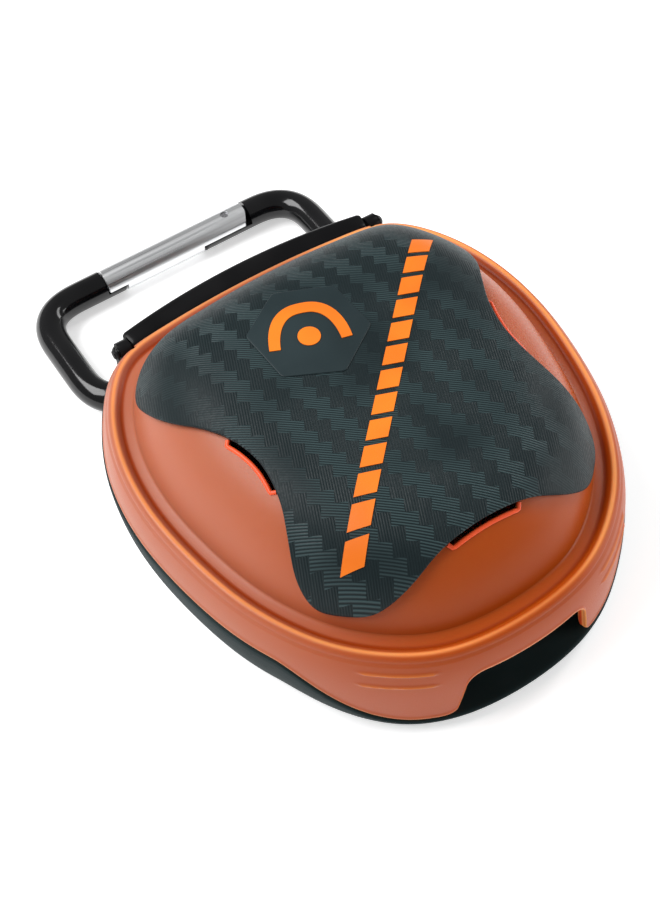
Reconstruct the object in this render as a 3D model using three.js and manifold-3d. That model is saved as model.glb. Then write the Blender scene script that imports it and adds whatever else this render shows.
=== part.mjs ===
// Hinged mouthguard case with a belt clip, and the mouthguard that it carries.
//
// Millimetres, +Z up. The origin is on the case's flat underside, on its centre
// line. The thumb notch faces -Y, the hinge and the carabiner are at +Y.

import * as THREE from 'three';
import { mergeVertices } from 'three/addons/utils/BufferGeometryUtils.js';
import Module from 'manifold-3d';

const wasm = await Module();
wasm.setup();

// ---- Driving dimensions ----------------------------------------------------

const GAP = 0.3;                 // between pieces that meet
const AROUND = 76;               // facets round the case

// Plan of the lid's rounded shoulder: right half, from the front to the back.
const SHOULDER_PLAN = [
  [0, -40.4], [15, -37.9], [27, -29.2], [34.6, -17], [38.6, -3], [40, 12],
  [38, 24.5], [33.5, 34], [27.5, 39.9], [14, 42.4],
];
const SHOULDER_BACK = [0, 43];
const DOME_CENTRE = new THREE.Vector2(0, 2);

// Lid.
const SHOULDER_Z = 21.5;         // top of the shoulder, above the floor
const GROOVE_IN = 4;             // groove, inwards from the shoulder
const GROOVE_Z = SHOULDER_Z - 0.9;
const CROWN_Z = SHOULDER_Z + 14.5;
const DOME_POWER = 6.2;          // a higher power gives a flatter crown
const LID_WALL = 1.6;
const SKIRT_FLARE = { most: 2.5, over: 4.5 };  // outwards, settling over this drop
const SKIRT_SIDE_Z = 14;         // lower edge at the sides
const SKIRT_TAB_Z = 3.7;         // lower edge of the two front tabs
const SKIRT_HINGE_Z = 18.2;      // lower edge beside the hinge
const NOTCH = { top: 15.3, halfTop: 10.8, halfBottom: 12.6, radius: 3 };
const VENT = { half: 6.8, sideX: 23.2, sideY: -1.1 };  // half length; middle of the side slots
const VENT_OUT = 1.1;            // how far a slot shows past the badge

// Badge: right half of its outline in plan, from the back to the front.
const BADGE_PLAN = [
  [10, 33], [20.5, 32.2], [27, 30.8], [30.6, 26.8], [30.9, 21.3], [29.5, 15.6], [26.8, 10.3],
  [24.4, 5], [23.2, -1], [23.9, -8], [25.6, -13], [26.9, -17], [26.5, -21],
  [23.5, -24.9], [19.7, -27.7], [14.8, -28.5], [7.5, -27.6],
];
const BADGE_BACK = [0, 33.4];
const BADGE_FRONT = [0, -27.3];
const BADGE_THICK = 1;

// Base.
const RIM_Z = 18;                // top of the base's wall
const WALL_IN = 1.9;             // base's wall, inwards from the shoulder
const LEDGE_PROUD = 0.35;        // the base's ledge, outwards from the skirt
const FOOT_IN = 4;                // flat foot, inwards from the shoulder
const FLOOR_Z = 2.2;
const WALL_INSIDE = [[2.2, RIM_Z], [2.4, 14], [4.9, 9], [6.2, 5], [9, FLOOR_Z]];  // inwards, height
const SCOOP = { half: 13.4, depthY: -34.6, wall: 2, top: 18.5 };
const CLIP_RECESS = { y: 38.4, z: 9.2 };
const HINGE_FACE_Y = 40.4;       // the base's flat back, which the bracket stands on

// Hinge.
const PIN = { y: 42.5, z: 19.2, r: 0.9, headR: 1.3, from: 22.8 };
const PIN_SLACK = 0.05;          // between a pin and the bore that turns on it
const BAR = { half: 24.9, inner: 40.8, innerBow: 1.9, outer: 44.6, outerBow: 3, bottom: 17.5, top: 20.9 };
const EAR = { from: 25.2, to: 27.4, front: 40.7, back: 44.9, topR: 1.8 };
const WEB = { bottom: 10.8, top: 12.9 };
const SWING_R = 6.2;             // swept by the bar round the pins
const LIP = { half: 18, front: 35.7, back: 36.9, bottom: 14 };

// Carabiner: a D of round rod that lies from the loop to the floor.
const ROD_R = 2.9;
const SPINE = { y: 43, z: 4.6 };
const CLIP = { centreX: -3.6, halfLength: 28.8, reach: 28, gateCorner: 8.6, spineCorner: 9 };
const CLIP_TILT = 3.1;           // degrees down to the floor
const GATE = { left: -14.2, right: 18, lapLeft: 4, lapRight: 10.9, pinIn: 4.3 };
const GATE_BORE = { r: 1.7, depth: 13 };
const LOOP = { half: 13, holeR: 3.4, wall: 1.3 };

// Mouthguard: an upper bite tray. Its arch opens to the back.
const ARCH = { halfWidth: 22.2, front: -23.5, back: 17.5, bottom: 3.2 };
const TRAY_HEIGHT = 17;

// ---- Geometry helpers ------------------------------------------------------

/** A closed solid from a geometry: merged corners, no empty triangles, faces out. */
function solid(geometry) {
  const bare = new THREE.BufferGeometry();
  bare.setAttribute('position', geometry.getAttribute('position').clone());
  if (geometry.index) bare.setIndex(geometry.index.clone());
  const merged = mergeVertices(bare, 1e-4);
  const index = merged.index.array;
  const kept = [];
  for (let i = 0; i < index.length; i += 3) {
    const [a, b, c] = [index[i], index[i + 1], index[i + 2]];
    if (a !== b && b !== c && c !== a) kept.push(a, b, c);
  }
  const positions = merged.getAttribute('position').array;
  if (signedVolume(positions, kept) < 0) {
    for (let i = 0; i < kept.length; i += 3) [kept[i], kept[i + 1]] = [kept[i + 1], kept[i]];
  }
  return new wasm.Manifold(new wasm.Mesh({
    numProp: 3,
    vertProperties: new Float32Array(positions),
    triVerts: new Uint32Array(kept),
  }));
}

function signedVolume(positions, index) {
  const [a, b, c] = [new THREE.Vector3(), new THREE.Vector3(), new THREE.Vector3()];
  let total = 0;
  for (let i = 0; i < index.length; i += 3) {
    a.fromArray(positions, index[i] * 3);
    b.fromArray(positions, index[i + 1] * 3);
    c.fromArray(positions, index[i + 2] * 3);
    total += a.dot(b.cross(c));
  }
  return total;
}

/** A geometry from a manifold solid. */
function geometryOf(body) {
  const mesh = body.getMesh();
  const geometry = new THREE.BufferGeometry();
  geometry.setAttribute('position', new THREE.BufferAttribute(mesh.vertProperties, 3));
  geometry.setIndex(new THREE.BufferAttribute(mesh.triVerts, 1));
  return geometry;
}

/** Joins equal rings of points into a skin. Each end closes to a cap or a point. */
function skin(rings, capOutline = null) {
  const count = rings[0].length;
  const positions = rings.flat().flatMap((p) => [p.x, p.y, p.z]);
  const index = [];
  for (let r = 0; r + 1 < rings.length; r += 1) {
    for (let i = 0; i < count; i += 1) {
      const j = (i + 1) % count;
      const [a, b] = [r * count + i, r * count + j];
      index.push(a, b, b + count, a, b + count, a + count);
    }
  }
  if (capOutline) {
    const last = (rings.length - 1) * count;
    for (const [a, b, c] of THREE.ShapeUtils.triangulateShape(capOutline, [])) {
      index.push(a, c, b, last + a, last + b, last + c);
    }
  }
  const geometry = new THREE.BufferGeometry();
  geometry.setAttribute('position', new THREE.Float32BufferAttribute(positions, 3));
  geometry.setIndex(index);
  return geometry;
}

/** A closed smooth outline from the right half's points, mirrored about x = 0. */
function mirroredCurve(first, half, last) {
  const right = half.map(([x, y]) => new THREE.Vector3(x, y, 0));
  const left = right.map((p) => new THREE.Vector3(-p.x, p.y, 0)).reverse();
  const ends = [first, last].map(([x, y]) => new THREE.Vector3(x, y, 0));
  return new THREE.CatmullRomCurve3([ends[0], ...right, ends[1], ...left], true, 'centripetal');
}

/** A prism along Z with the outline's shape. */
function prism(points, bottom, top) {
  const shape = new THREE.Shape(points.map(([x, y]) => new THREE.Vector2(x, y)));
  const geometry = new THREE.ExtrudeGeometry(shape, { depth: top - bottom, bevelEnabled: false });
  return geometry.translate(0, 0, bottom);
}

/** A prism along X whose outline is given in Y and Z. */
function prismX(shape, from, to, curveSegments = 8) {
  const geometry = new THREE.ExtrudeGeometry(shape, { depth: to - from, bevelEnabled: false, curveSegments });
  geometry.applyMatrix4(new THREE.Matrix4().makeBasis(
    new THREE.Vector3(0, 1, 0), new THREE.Vector3(0, 0, 1), new THREE.Vector3(1, 0, 0)));
  return geometry.translate(from, 0, 0);
}

function box(x0, x1, y0, y1, z0, z1) {
  const geometry = new THREE.BoxGeometry(x1 - x0, y1 - y0, z1 - z0);
  return geometry.translate((x0 + x1) / 2, (y0 + y1) / 2, (z0 + z1) / 2);
}

/** A cylinder along X. */
function rodX(radius, from, to, y, z, sides = 20) {
  const geometry = new THREE.CylinderGeometry(radius, radius, to - from, sides);
  return geometry.rotateZ(Math.PI / 2).translate((from + to) / 2, y, z);
}

/** A cylinder along Z. */
function rodZ(radius, x, y, bottom, top, sides = 20) {
  const geometry = new THREE.CylinderGeometry(radius, radius, top - bottom, sides);
  return geometry.rotateX(Math.PI / 2).translate(x, y, (bottom + top) / 2);
}

const smooth = (t) => THREE.MathUtils.smoothstep(t, 0, 1);

// ---- The case's common shape -----------------------------------------------

const shoulderCurve = mirroredCurve(SHOULDER_PLAN[0], SHOULDER_PLAN.slice(1), SHOULDER_BACK);

/** Stations round the shoulder: a plan point and its outward direction. */
const stations = Array.from({ length: AROUND }, (_, i) => {
  const at = shoulderCurve.getPointAt(i / AROUND);
  const along = shoulderCurve.getTangentAt(i / AROUND);
  return { at, out: new THREE.Vector3(along.y, -along.x, 0) };
});

/** The ring at an outward offset. The height is a number or a function of the station. */
function ring(offset, height) {
  return stations.map((station) => {
    const z = typeof height === 'function' ? height(station) : height;
    const d = typeof offset === 'function' ? offset(station, z) : offset;
    return station.at.clone().addScaledVector(station.out, d).setZ(z);
  });
}

/** Every point of a ring at one place, which closes a skin. */
const pole = (z) => stations.map(() => new THREE.Vector3(DOME_CENTRE.x, DOME_CENTRE.y, z));

/** The dome: the edge ring drawn in to a share of its radius, and raised. */
function domeRing(share, inset, edgeZ, crownZ, lift = 0) {
  return stations.map((station) => {
    const point = (s) => {
      const edge = station.at.clone().addScaledVector(station.out, -inset);
      const x = DOME_CENTRE.x + s * (edge.x - DOME_CENTRE.x);
      const y = DOME_CENTRE.y + s * (edge.y - DOME_CENTRE.y);
      return new THREE.Vector3(x, y, edgeZ + (crownZ - edgeZ) * (1 - s ** DOME_POWER));
    };
    const here = point(share);
    const slope = point(share + 0.01).sub(point(share - 0.01)).normalize();
    const side = new THREE.Vector3(-slope.y, slope.x, 0).normalize();
    return here.addScaledVector(slope.clone().cross(side), lift);
  });
}

/** The skirt's lower edge: level at the sides, low at the front, high by the hinge. */
function skirtEdge({ at }) {
  const toTabs = smooth((-19.5 - at.y) / 17.5);
  const toHinge = smooth((at.y - 22) / 13);
  return SKIRT_SIDE_Z + (SKIRT_TAB_Z - SKIRT_SIDE_Z) * toTabs + (SKIRT_HINGE_Z - SKIRT_SIDE_Z) * toHinge;
}

const flare = (z) => SKIRT_FLARE.most * (1 - Math.exp((z - SHOULDER_Z) / SKIRT_FLARE.over));

// ---- Lid -------------------------------------------------------------------

const DOME_SHARES = [0.25, 0.45, 0.6, 0.72, 0.82, 0.9, 0.96, 1];

function lidBody() {
  const outside = [
    pole(CROWN_Z),
    ...DOME_SHARES.map((share) => domeRing(share, GROOVE_IN, GROOVE_Z, CROWN_Z)),
    ring(-2.2, SHOULDER_Z - 0.25),
    ring(-0.9, SHOULDER_Z),
    ring(0.2, SHOULDER_Z - 0.9),
    ring((_, z) => flare(z), (s) => (SHOULDER_Z - 2 + skirtEdge(s)) / 2),
    ring((_, z) => flare(z), skirtEdge),
  ];
  const inset = GROOVE_IN + 1.3;
  const inside = [
    ring((_, z) => flare(z) - 1.5, skirtEdge),
    ring(-1.4, (s) => Math.max(SHOULDER_Z - 2.4, skirtEdge(s) + GAP)),
    ring(-GROOVE_IN, GROOVE_Z - LID_WALL),
    ...DOME_SHARES.toReversed().map((share) => domeRing(share, inset, GROOVE_Z - LID_WALL, CROWN_Z - LID_WALL)),
    pole(CROWN_Z - LID_WALL),
  ];
  return solid(skin([...outside, ...inside]));
}

/** The thumb notch, seen from the front, as a cutter through the skirt. */
function notchCutter() {
  const { top, halfTop, halfBottom, radius } = NOTCH;
  const shape = new THREE.Shape();
  shape.moveTo(-halfBottom - 0.6, -1);
  shape.lineTo(-halfBottom, SKIRT_TAB_Z);
  shape.lineTo(-halfTop, top - radius);
  shape.quadraticCurveTo(-halfTop, top, -halfTop + radius, top);
  shape.lineTo(halfTop - radius, top);
  shape.quadraticCurveTo(halfTop, top, halfTop, top - radius);
  shape.lineTo(halfBottom, SKIRT_TAB_Z);
  shape.lineTo(halfBottom + 0.6, -1);
  const geometry = new THREE.ExtrudeGeometry(shape, { depth: 20, bevelEnabled: false, curveSegments: 4 });
  return solid(geometry.rotateX(Math.PI / 2).translate(0, -30, 0));
}

/** Three vent slots under the badge's hollow edges: front, left and right. */
function ventCutters() {
  const { half, sideX, sideY } = VENT;
  const frontY = BADGE_FRONT[1] - VENT_OUT;
  const outX = sideX + VENT_OUT;
  const front = [[-half, frontY + 3], [-half, frontY - 0.3], [0, frontY], [half, frontY - 0.3], [half, frontY + 3]];
  const side = [
    [outX - 3, sideY - half], [outX + 0.6, sideY - half], [outX, sideY],
    [outX + 1.2, sideY + half], [outX - 3, sideY + half],
  ];
  const mirrored = side.map(([x, y]) => [-x, y]);
  return [front, side, mirrored].map((outline) => solid(prism(outline, GROOVE_Z, CROWN_Z + 5)));
}

/** The bar's plan, grown all round by a margin, from side to side. */
function barPlan(half, margin) {
  const steps = 12;
  const xs = Array.from({ length: steps + 1 }, (_, i) => half * ((2 * i) / steps - 1));
  const bow = (x) => 1 - (x / EAR.to) ** 2;
  const inner = xs.map((x) => [x, BAR.inner + BAR.innerBow * bow(x) - margin]);
  const outer = xs.map((x) => [x, BAR.outer + BAR.outerBow * bow(x) + margin]);
  return [...inner, ...outer.reverse()];
}

/** Room in the lid's back edge for the bar and the ears. */
function hingeCutter() {
  const top = SHOULDER_Z + 2;
  const side = EAR.to + GAP;
  return solid(prism(barPlan(side, GAP), 10, top))
    .add(solid(box(-side, -BAR.half, EAR.front - 0.5, EAR.back + 2, 10, top)))
    .add(solid(box(BAR.half, side, EAR.front - 0.5, EAR.back + 2, 10, top)));
}

/** A lip that hangs from the lid inside the base's back wall and closes the hinge gap. */
const hingeLip = () => solid(box(-LIP.half, LIP.half, LIP.front, LIP.back, LIP.bottom, GROOVE_Z - 0.6));

function lidShell() {
  let body = lidBody().subtract(notchCutter()).subtract(hingeCutter()).add(hingeLip());
  for (const cutter of ventCutters()) body = body.subtract(cutter);
  return geometryOf(body);
}

/** The badge: a thin plate that follows the dome, cut to its outline. */
function lidBadge() {
  const shares = [0.3, 0.5, 0.64, 0.74, 0.82, 0.88, 0.94, 0.985];
  const layer = (lift) => shares.map((share) => domeRing(share, GROOVE_IN, GROOVE_Z, CROWN_Z, lift));
  const plate = skin([
    pole(CROWN_Z + GAP + BADGE_THICK),
    ...layer(GAP + BADGE_THICK),
    ...layer(GAP).toReversed(),
    pole(CROWN_Z + GAP),
  ]);
  const outline = mirroredCurve(BADGE_BACK, BADGE_PLAN, BADGE_FRONT).getSpacedPoints(56).slice(0, -1);
  const cutter = prism(outline.map((p) => [p.x, p.y]), GROOVE_Z - 5, CROWN_Z + 10);
  return geometryOf(solid(plate).intersect(solid(cutter)));
}

// ---- Hinge -----------------------------------------------------------------

/** The bar over the hinge: bowed to the back, with a blind bore for a pin in each end. */
function hingeBar() {
  let body = solid(prism(barPlan(BAR.half, 0), BAR.bottom, BAR.top));
  for (const side of [-1, 1]) {
    const ends = [side * (PIN.from - GAP), side * (BAR.half + 1)].sort((a, b) => a - b);
    body = body.subtract(solid(rodX(PIN.r + PIN_SLACK, ...ends, PIN.y, PIN.z)));
  }
  return geometryOf(body);
}

/** One hinge pin: a stub with a low round head outside the ear. */
function hingePin(side) {
  const head = EAR.to + GAP;
  const span = (from, to) => [side * from, side * to].sort((a, b) => a - b);
  const shank = solid(rodX(PIN.r, ...span(PIN.from, head + 0.1), PIN.y, PIN.z));
  return geometryOf(shank.add(solid(rodX(PIN.headR, ...span(head, head + 0.8), PIN.y, PIN.z))));
}

/** One bracket: two ears for the pins, a web between them and the carabiner's loop. */
function hingeBracket() {
  const ear = new THREE.Shape();
  ear.moveTo(EAR.front, WEB.bottom);
  ear.lineTo(EAR.back, WEB.bottom);
  ear.lineTo(EAR.back, PIN.z - 1);
  ear.absarc(PIN.y, PIN.z, EAR.topR, 0, Math.PI, false);
  ear.lineTo(EAR.front, PIN.z - 1);
  const bore = rodX(PIN.r + PIN_SLACK, -EAR.to - 1, EAR.to + 1, PIN.y, PIN.z);
  const web = box(-EAR.to, EAR.to, EAR.front, EAR.back, WEB.bottom, WEB.top);
  const loop = new THREE.Shape();
  const front = CLIP_RECESS.y + GAP;
  loop.moveTo(front, 0.1);
  loop.lineTo(SPINE.y + 1.2, 0.1);
  loop.absarc(SPINE.y, SPINE.z, LOOP.holeR + LOOP.wall, -1.2, 0.6, false);
  loop.lineTo(EAR.back, WEB.bottom);
  loop.lineTo(EAR.back, WEB.top);
  loop.lineTo(EAR.front, WEB.top);
  loop.lineTo(EAR.front, CLIP_RECESS.z - GAP);
  loop.lineTo(front, CLIP_RECESS.z - GAP);
  const channel = rodX(LOOP.holeR, -LOOP.half - 1, LOOP.half + 1, SPINE.y, SPINE.z, 24);
  const body = solid(prismX(ear, EAR.from, EAR.to))
    .add(solid(prismX(ear, -EAR.to, -EAR.from)))
    .subtract(solid(bore))
    .add(solid(web))
    .add(solid(prismX(loop, -LOOP.half, LOOP.half)).subtract(solid(channel)));
  return geometryOf(body);
}

// ---- Base ------------------------------------------------------------------

/** The base's ledge, a hair under the skirt's edge and flush with it outside. */
const ledgeZ = (station) => Math.max(skirtEdge(station) - GAP, 3.2);

function bowlRing(share) {
  const rise = 1 - (1 - share) ** 2.2;
  return ring((station) => {
    const top = flare(ledgeZ(station)) + LEDGE_PROUD;
    return -FOOT_IN + (top + FOOT_IN) * rise ** (1 / 2.2);
  }, (station) => ledgeZ(station) * share);
}

function baseBody() {
  return solid(skin([
    pole(0),
    ring(-FOOT_IN, 0),
    ...[0.06, 0.2, 0.45, 0.75, 1].map(bowlRing),
    ring(-WALL_IN, ledgeZ),
    ring(-WALL_IN, RIM_Z),
    ...WALL_INSIDE.map(([inwards, z]) => ring(-WALL_IN - inwards, z)),
    pole(FLOOR_Z),
  ]));
}

/** The thumb scoop: a walled pocket in the front of the base, behind the notch. */
function withScoop(body) {
  const { half, depthY, wall, top } = SCOOP;
  const backY = depthY + wall;
  const front = body.intersect(solid(box(-half - wall, half + wall, -60, backY, -1, 30)));
  const hull = solid(skin([
    pole(0.6), ring(-FOOT_IN + 1, 0.6), ring(-WALL_IN - 1, 3), ring(-WALL_IN, 3.2), ring(-WALL_IN, RIM_Z), pole(RIM_Z),
  ]));
  const block = hull.intersect(solid(box(-half - wall, half + wall, -60, backY, 0.8, RIM_Z)));
  const pocket = solid(box(-half, half, -60, depthY, 3.9, top));
  return body.add(front).add(block).subtract(pocket);
}

function baseShell() {
  const recess = solid(box(-45, 45, CLIP_RECESS.y, 60, -1, CLIP_RECESS.z));
  const hingeSide = EAR.to + 1.5;
  const hingeRoom = solid(box(-hingeSide, hingeSide, HINGE_FACE_Y, 60, 0, 30));
  const swing = solid(rodX(SWING_R, -EAR.from, EAR.from, PIN.y, PIN.z, 32));
  return geometryOf(withScoop(baseBody()).subtract(recess).subtract(hingeRoom).subtract(swing));
}

// ---- Carabiner (x along the spine, y from the spine to the gate) ------------

/** The frame's centre line, from the gate's left end round to its right end. */
function clipPath() {
  const { halfLength: h, reach, gateCorner: g, spineCorner: s } = CLIP;
  const path = new THREE.CurvePath();
  const v = (x, y) => new THREE.Vector3(x, y, 0);
  const corner = (from, mid, to) => path.add(new THREE.QuadraticBezierCurve3(from, mid, to));
  path.add(new THREE.LineCurve3(v(GATE.left - 0.3, reach), v(-h + g, reach)));
  corner(v(-h + g, reach), v(-h, reach), v(-h, reach - g));
  path.add(new THREE.LineCurve3(v(-h, reach - g), v(-h, s)));
  corner(v(-h, s), v(-h, 0), v(-h + s, 0));
  path.add(new THREE.LineCurve3(v(-h + s, 0), v(h - s, 0)));
  corner(v(h - s, 0), v(h, 0), v(h, s));
  path.add(new THREE.LineCurve3(v(h, s), v(h, reach - g)));
  corner(v(h, reach - g), v(h, reach), v(h - g, reach));
  path.add(new THREE.LineCurve3(v(h - g, reach), v(GATE.right + 0.3, reach)));
  return path;
}

/** A round rod along the clip's path. */
function clipRod() {
  const sides = 12;
  const samples = [];
  for (const curve of clipPath().curves) {
    const steps = curve.isLineCurve3 ? 1 : 6;
    for (let i = samples.length ? 1 : 0; i <= steps; i += 1) {
      samples.push({ at: curve.getPoint(i / steps), along: curve.getTangent(i / steps) });
    }
  }
  const angles = Array.from({ length: sides }, (_, i) => ((i + 0.5) / sides) * 2 * Math.PI);
  const outline = angles.map((a) => new THREE.Vector2(Math.cos(a), Math.sin(a)));
  const rings = samples.map(({ at, along }) => {
    const out = new THREE.Vector3(along.y, -along.x, 0);
    return outline.map((p) => at.clone().addScaledVector(out, ROD_R * p.x).setZ(ROD_R * p.y));
  });
  return solid(skin(rings, outline));
}

const PIN_X = GATE.right - GATE.pinIn;
const TONGUE_R = GATE.lapRight - GATE.pinIn - GAP;

/** The frame: the rod, with a lower-half tongue reaching under each end of the gate. */
function carabinerFrame() {
  const { reach } = CLIP;
  const rod = (from, to) => solid(rodX(ROD_R, from, to, reach, 0, 24));
  const lower = solid(box(-60, 60, reach - 5, reach + 5, -5, -GAP / 2));
  const leftTongue = rod(GATE.left - 1, GATE.left + GATE.lapLeft - GAP).intersect(lower);
  const rightTongue = rod(PIN_X - TONGUE_R, GATE.right + 1).intersect(lower)
    .intersect(solid(rodZ(TONGUE_R, PIN_X, reach, -5, 5, 32)).add(solid(box(PIN_X, 60, reach - 5, reach + 5, -5, 5))));
  const bore = solid(rodZ(0.8, PIN_X, reach, -5, 5, 16));
  return geometryOf(clipRod().add(leftTongue).add(rightTongue).subtract(bore));
}

/** The gate: a bored rod with an upper-half lap at each end. */
function carabinerGate() {
  const { reach } = CLIP;
  const { left, right, lapLeft, lapRight } = GATE;
  const lapRoom = (from, to) => solid(box(from, to, reach - 5, reach + 5, -5, GAP / 2));
  const roundEnd = solid(rodZ(4.2, PIN_X, reach, -5, 5, 32))
    .add(solid(box(-60, PIN_X, reach - 5, reach + 5, -5, 5)));
  const shoulder = right - lapRight;
  const bore = solid(rodX(GATE_BORE.r, shoulder - GATE_BORE.depth, shoulder + 0.5, reach, -0.4, 16));
  const body = solid(rodX(ROD_R, left, right, reach, 0, 24))
    .subtract(lapRoom(left - 1, left + lapLeft))
    .subtract(lapRoom(shoulder, right + 1))
    .subtract(bore)
    .subtract(solid(rodZ(0.8 + 0.04, PIN_X, reach, -5, 5, 16)))
    .intersect(roundEnd);
  return geometryOf(body);
}

/** The gate's pivot pin, flush with the rod at both ends. */
const gatePin = () => rodZ(0.75, PIN_X, CLIP.reach, -2.7, 2.6, 16);

/** The gate's spring, coiled along the bore. */
function gateSpring() {
  const shoulder = GATE.right - GATE.lapRight;
  const from = shoulder - GATE_BORE.depth + GAP;
  const to = shoulder - 4.2;
  const turns = 5;
  class Helix extends THREE.Curve {
    getPoint(t) {
      const a = t * turns * 2 * Math.PI;
      return new THREE.Vector3(from + 0.4 + t * (to - from - 0.8),
        CLIP.reach + 1.1 * Math.cos(a), -0.4 + 1.1 * Math.sin(a));
    }
  }
  const wire = new THREE.Shape().absarc(0, 0, 0.22, 0, 2 * Math.PI, false);
  return new THREE.ExtrudeGeometry(wire, {
    steps: turns * 10, curveSegments: 3, bevelEnabled: false, extrudePath: new Helix(),
  });
}

/** The plunger that the spring holds against the frame's right tongue. */
function gatePlunger() {
  const shoulder = GATE.right - GATE.lapRight;
  return rodX(GATE_BORE.r - GAP, shoulder - 3.9, shoulder - 0.1, CLIP.reach, -0.4, 16);
}

// ---- Mouthguard ------------------------------------------------------------

/** Sweeps a section, given as outward and upward, round the dental arch. */
function archSweep(section, trim = 0) {
  const steps = 26;
  const outline = section.map(([r, z]) => new THREE.Vector2(r, z));
  const rings = Array.from({ length: steps + 1 }, (_, i) => {
    const t = THREE.MathUtils.lerp(trim, 1 - trim, i / steps);
    const a = Math.PI * (1 + t);
    const depth = ARCH.back - ARCH.front;
    const stretch = Math.sign(Math.cos(a)) * Math.abs(Math.cos(a)) ** 0.85;
    const at = new THREE.Vector3(ARCH.halfWidth * stretch, ARCH.back + depth * Math.sin(a), 0);
    const out = new THREE.Vector3(Math.cos(a) * depth, Math.sin(a) * ARCH.halfWidth, 0).normalize();
    return outline.map((p) => at.clone().addScaledVector(out, p.x).setZ(ARCH.bottom + p.y));
  });
  return geometryOf(solid(skin(rings, outline)));
}

/** The firm outer tray: a tall lip flange, a bite floor and a lower tongue flange. */
const trayFrame = () => archSweep([
  [5.2, 0], [5.6, TRAY_HEIGHT * 0.5], [5, TRAY_HEIGHT], [3.4, TRAY_HEIGHT], [3.6, 6],
  [-3.8, 6], [-4, 13.5], [-5.4, 13.5], [-5.6, 3.8], [3.4, 3.8], [3.6, 0],
]);

/** The soft liner that lies inside the tray and takes the teeth. */
const trayLiner = () => archSweep([
  [3.3, 6.3], [3.1, TRAY_HEIGHT - 0.6], [2.3, TRAY_HEIGHT - 0.6], [2.3, 7.4],
  [-2.6, 7.4], [-2.8, 12.8], [-3.7, 12.8], [-3.5, 6.3],
], 0.01);

/** A bite pad under one side of the tray's floor, where the back teeth meet. */
function bitePad(side) {
  const steps = 8;
  const section = [[2.5, 1.6], [2.9, 3.5], [-5, 3.5], [-4.6, 1.6]];
  const outline = section.map(([r, z]) => new THREE.Vector2(r, z));
  const rings = Array.from({ length: steps + 1 }, (_, i) => {
    const a = Math.PI * (1 + 0.03 + 0.2 * (i / steps));
    const depth = ARCH.back - ARCH.front;
    const stretch = Math.abs(Math.cos(a)) ** 0.85;
    const at = new THREE.Vector3(side * ARCH.halfWidth * stretch, ARCH.back + depth * Math.sin(a), 0);
    const out = new THREE.Vector3(-side * Math.cos(a) * depth, Math.sin(a) * ARCH.halfWidth, 0).normalize();
    return outline.map((p) => at.clone().addScaledVector(out, p.x).setZ(ARCH.bottom + p.y));
  });
  return geometryOf(solid(skin(rings, outline)));
}

// ---- Assembly --------------------------------------------------------------

const FINISH = {
  slate: { color: 0x2c3436, roughness: 0.5, metalness: 0 },
  black: { color: 0x0c0d0e, roughness: 0.3, metalness: 0 },
  lid: { color: 0xd9683a, roughness: 0.35, metalness: 0 },
  badge: { color: 0x333b3e, roughness: 0.5, metalness: 0 },
  aluminium: { color: 0xd8dadb, roughness: 0.2, metalness: 1 },
  steel: { color: 0x9a9c9e, roughness: 0.3, metalness: 1 },
  firm: { color: 0x1b1c1e, roughness: 0.5, metalness: 0 },
  gel: { color: 0xe07030, roughness: 0.4, metalness: 0 },
};

const model = new THREE.Group();
const clip = new THREE.Group();
clip.position.set(CLIP.centreX, SPINE.y, SPINE.z);
clip.rotation.x = -THREE.MathUtils.degToRad(CLIP_TILT);
model.add(clip);

function place(parent, name, geometry, finish) {
  const mesh = new THREE.Mesh(geometry, new THREE.MeshStandardMaterial(FINISH[finish]));
  mesh.name = name;
  parent.add(mesh);
}

place(model, 'base_shell', baseShell(), 'slate');
place(model, 'hinge_bracket', hingeBracket(), 'black');
place(model, 'lid_shell', lidShell(), 'lid');
place(model, 'lid_badge', lidBadge(), 'badge');
place(model, 'hinge_bar', hingeBar(), 'black');
for (const [name, side] of [['left', -1], ['right', 1]]) place(model, `hinge_pin_${name}`, hingePin(side), 'steel');
place(clip, 'carabiner_frame', carabinerFrame(), 'black');
place(clip, 'carabiner_gate', carabinerGate(), 'aluminium');
place(clip, 'gate_pivot_pin', gatePin(), 'steel');
place(clip, 'gate_spring', gateSpring(), 'steel');
place(clip, 'gate_plunger', gatePlunger(), 'steel');
place(model, 'mouthguard_tray', trayFrame(), 'firm');
place(model, 'mouthguard_liner', trayLiner(), 'gel');
for (const [name, side] of [['left', -1], ['right', 1]]) {
  place(model, `mouthguard_bite_pad_${name}`, bitePad(side), 'gel');
}

export default model;
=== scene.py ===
"""A hinged mouthguard case with a belt clip: its looks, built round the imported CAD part.

Metres, +Z up, the CAD part's own frame: the origin is on the case's flat underside, the thumb
notch faces -Y, the hinge and the carabiner are at +Y. Sizes inside the functions are in
millimetres, and `put` turns them to metres.
"""

import math

import bpy
import numpy as np
from mathutils import Matrix, Vector


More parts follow.
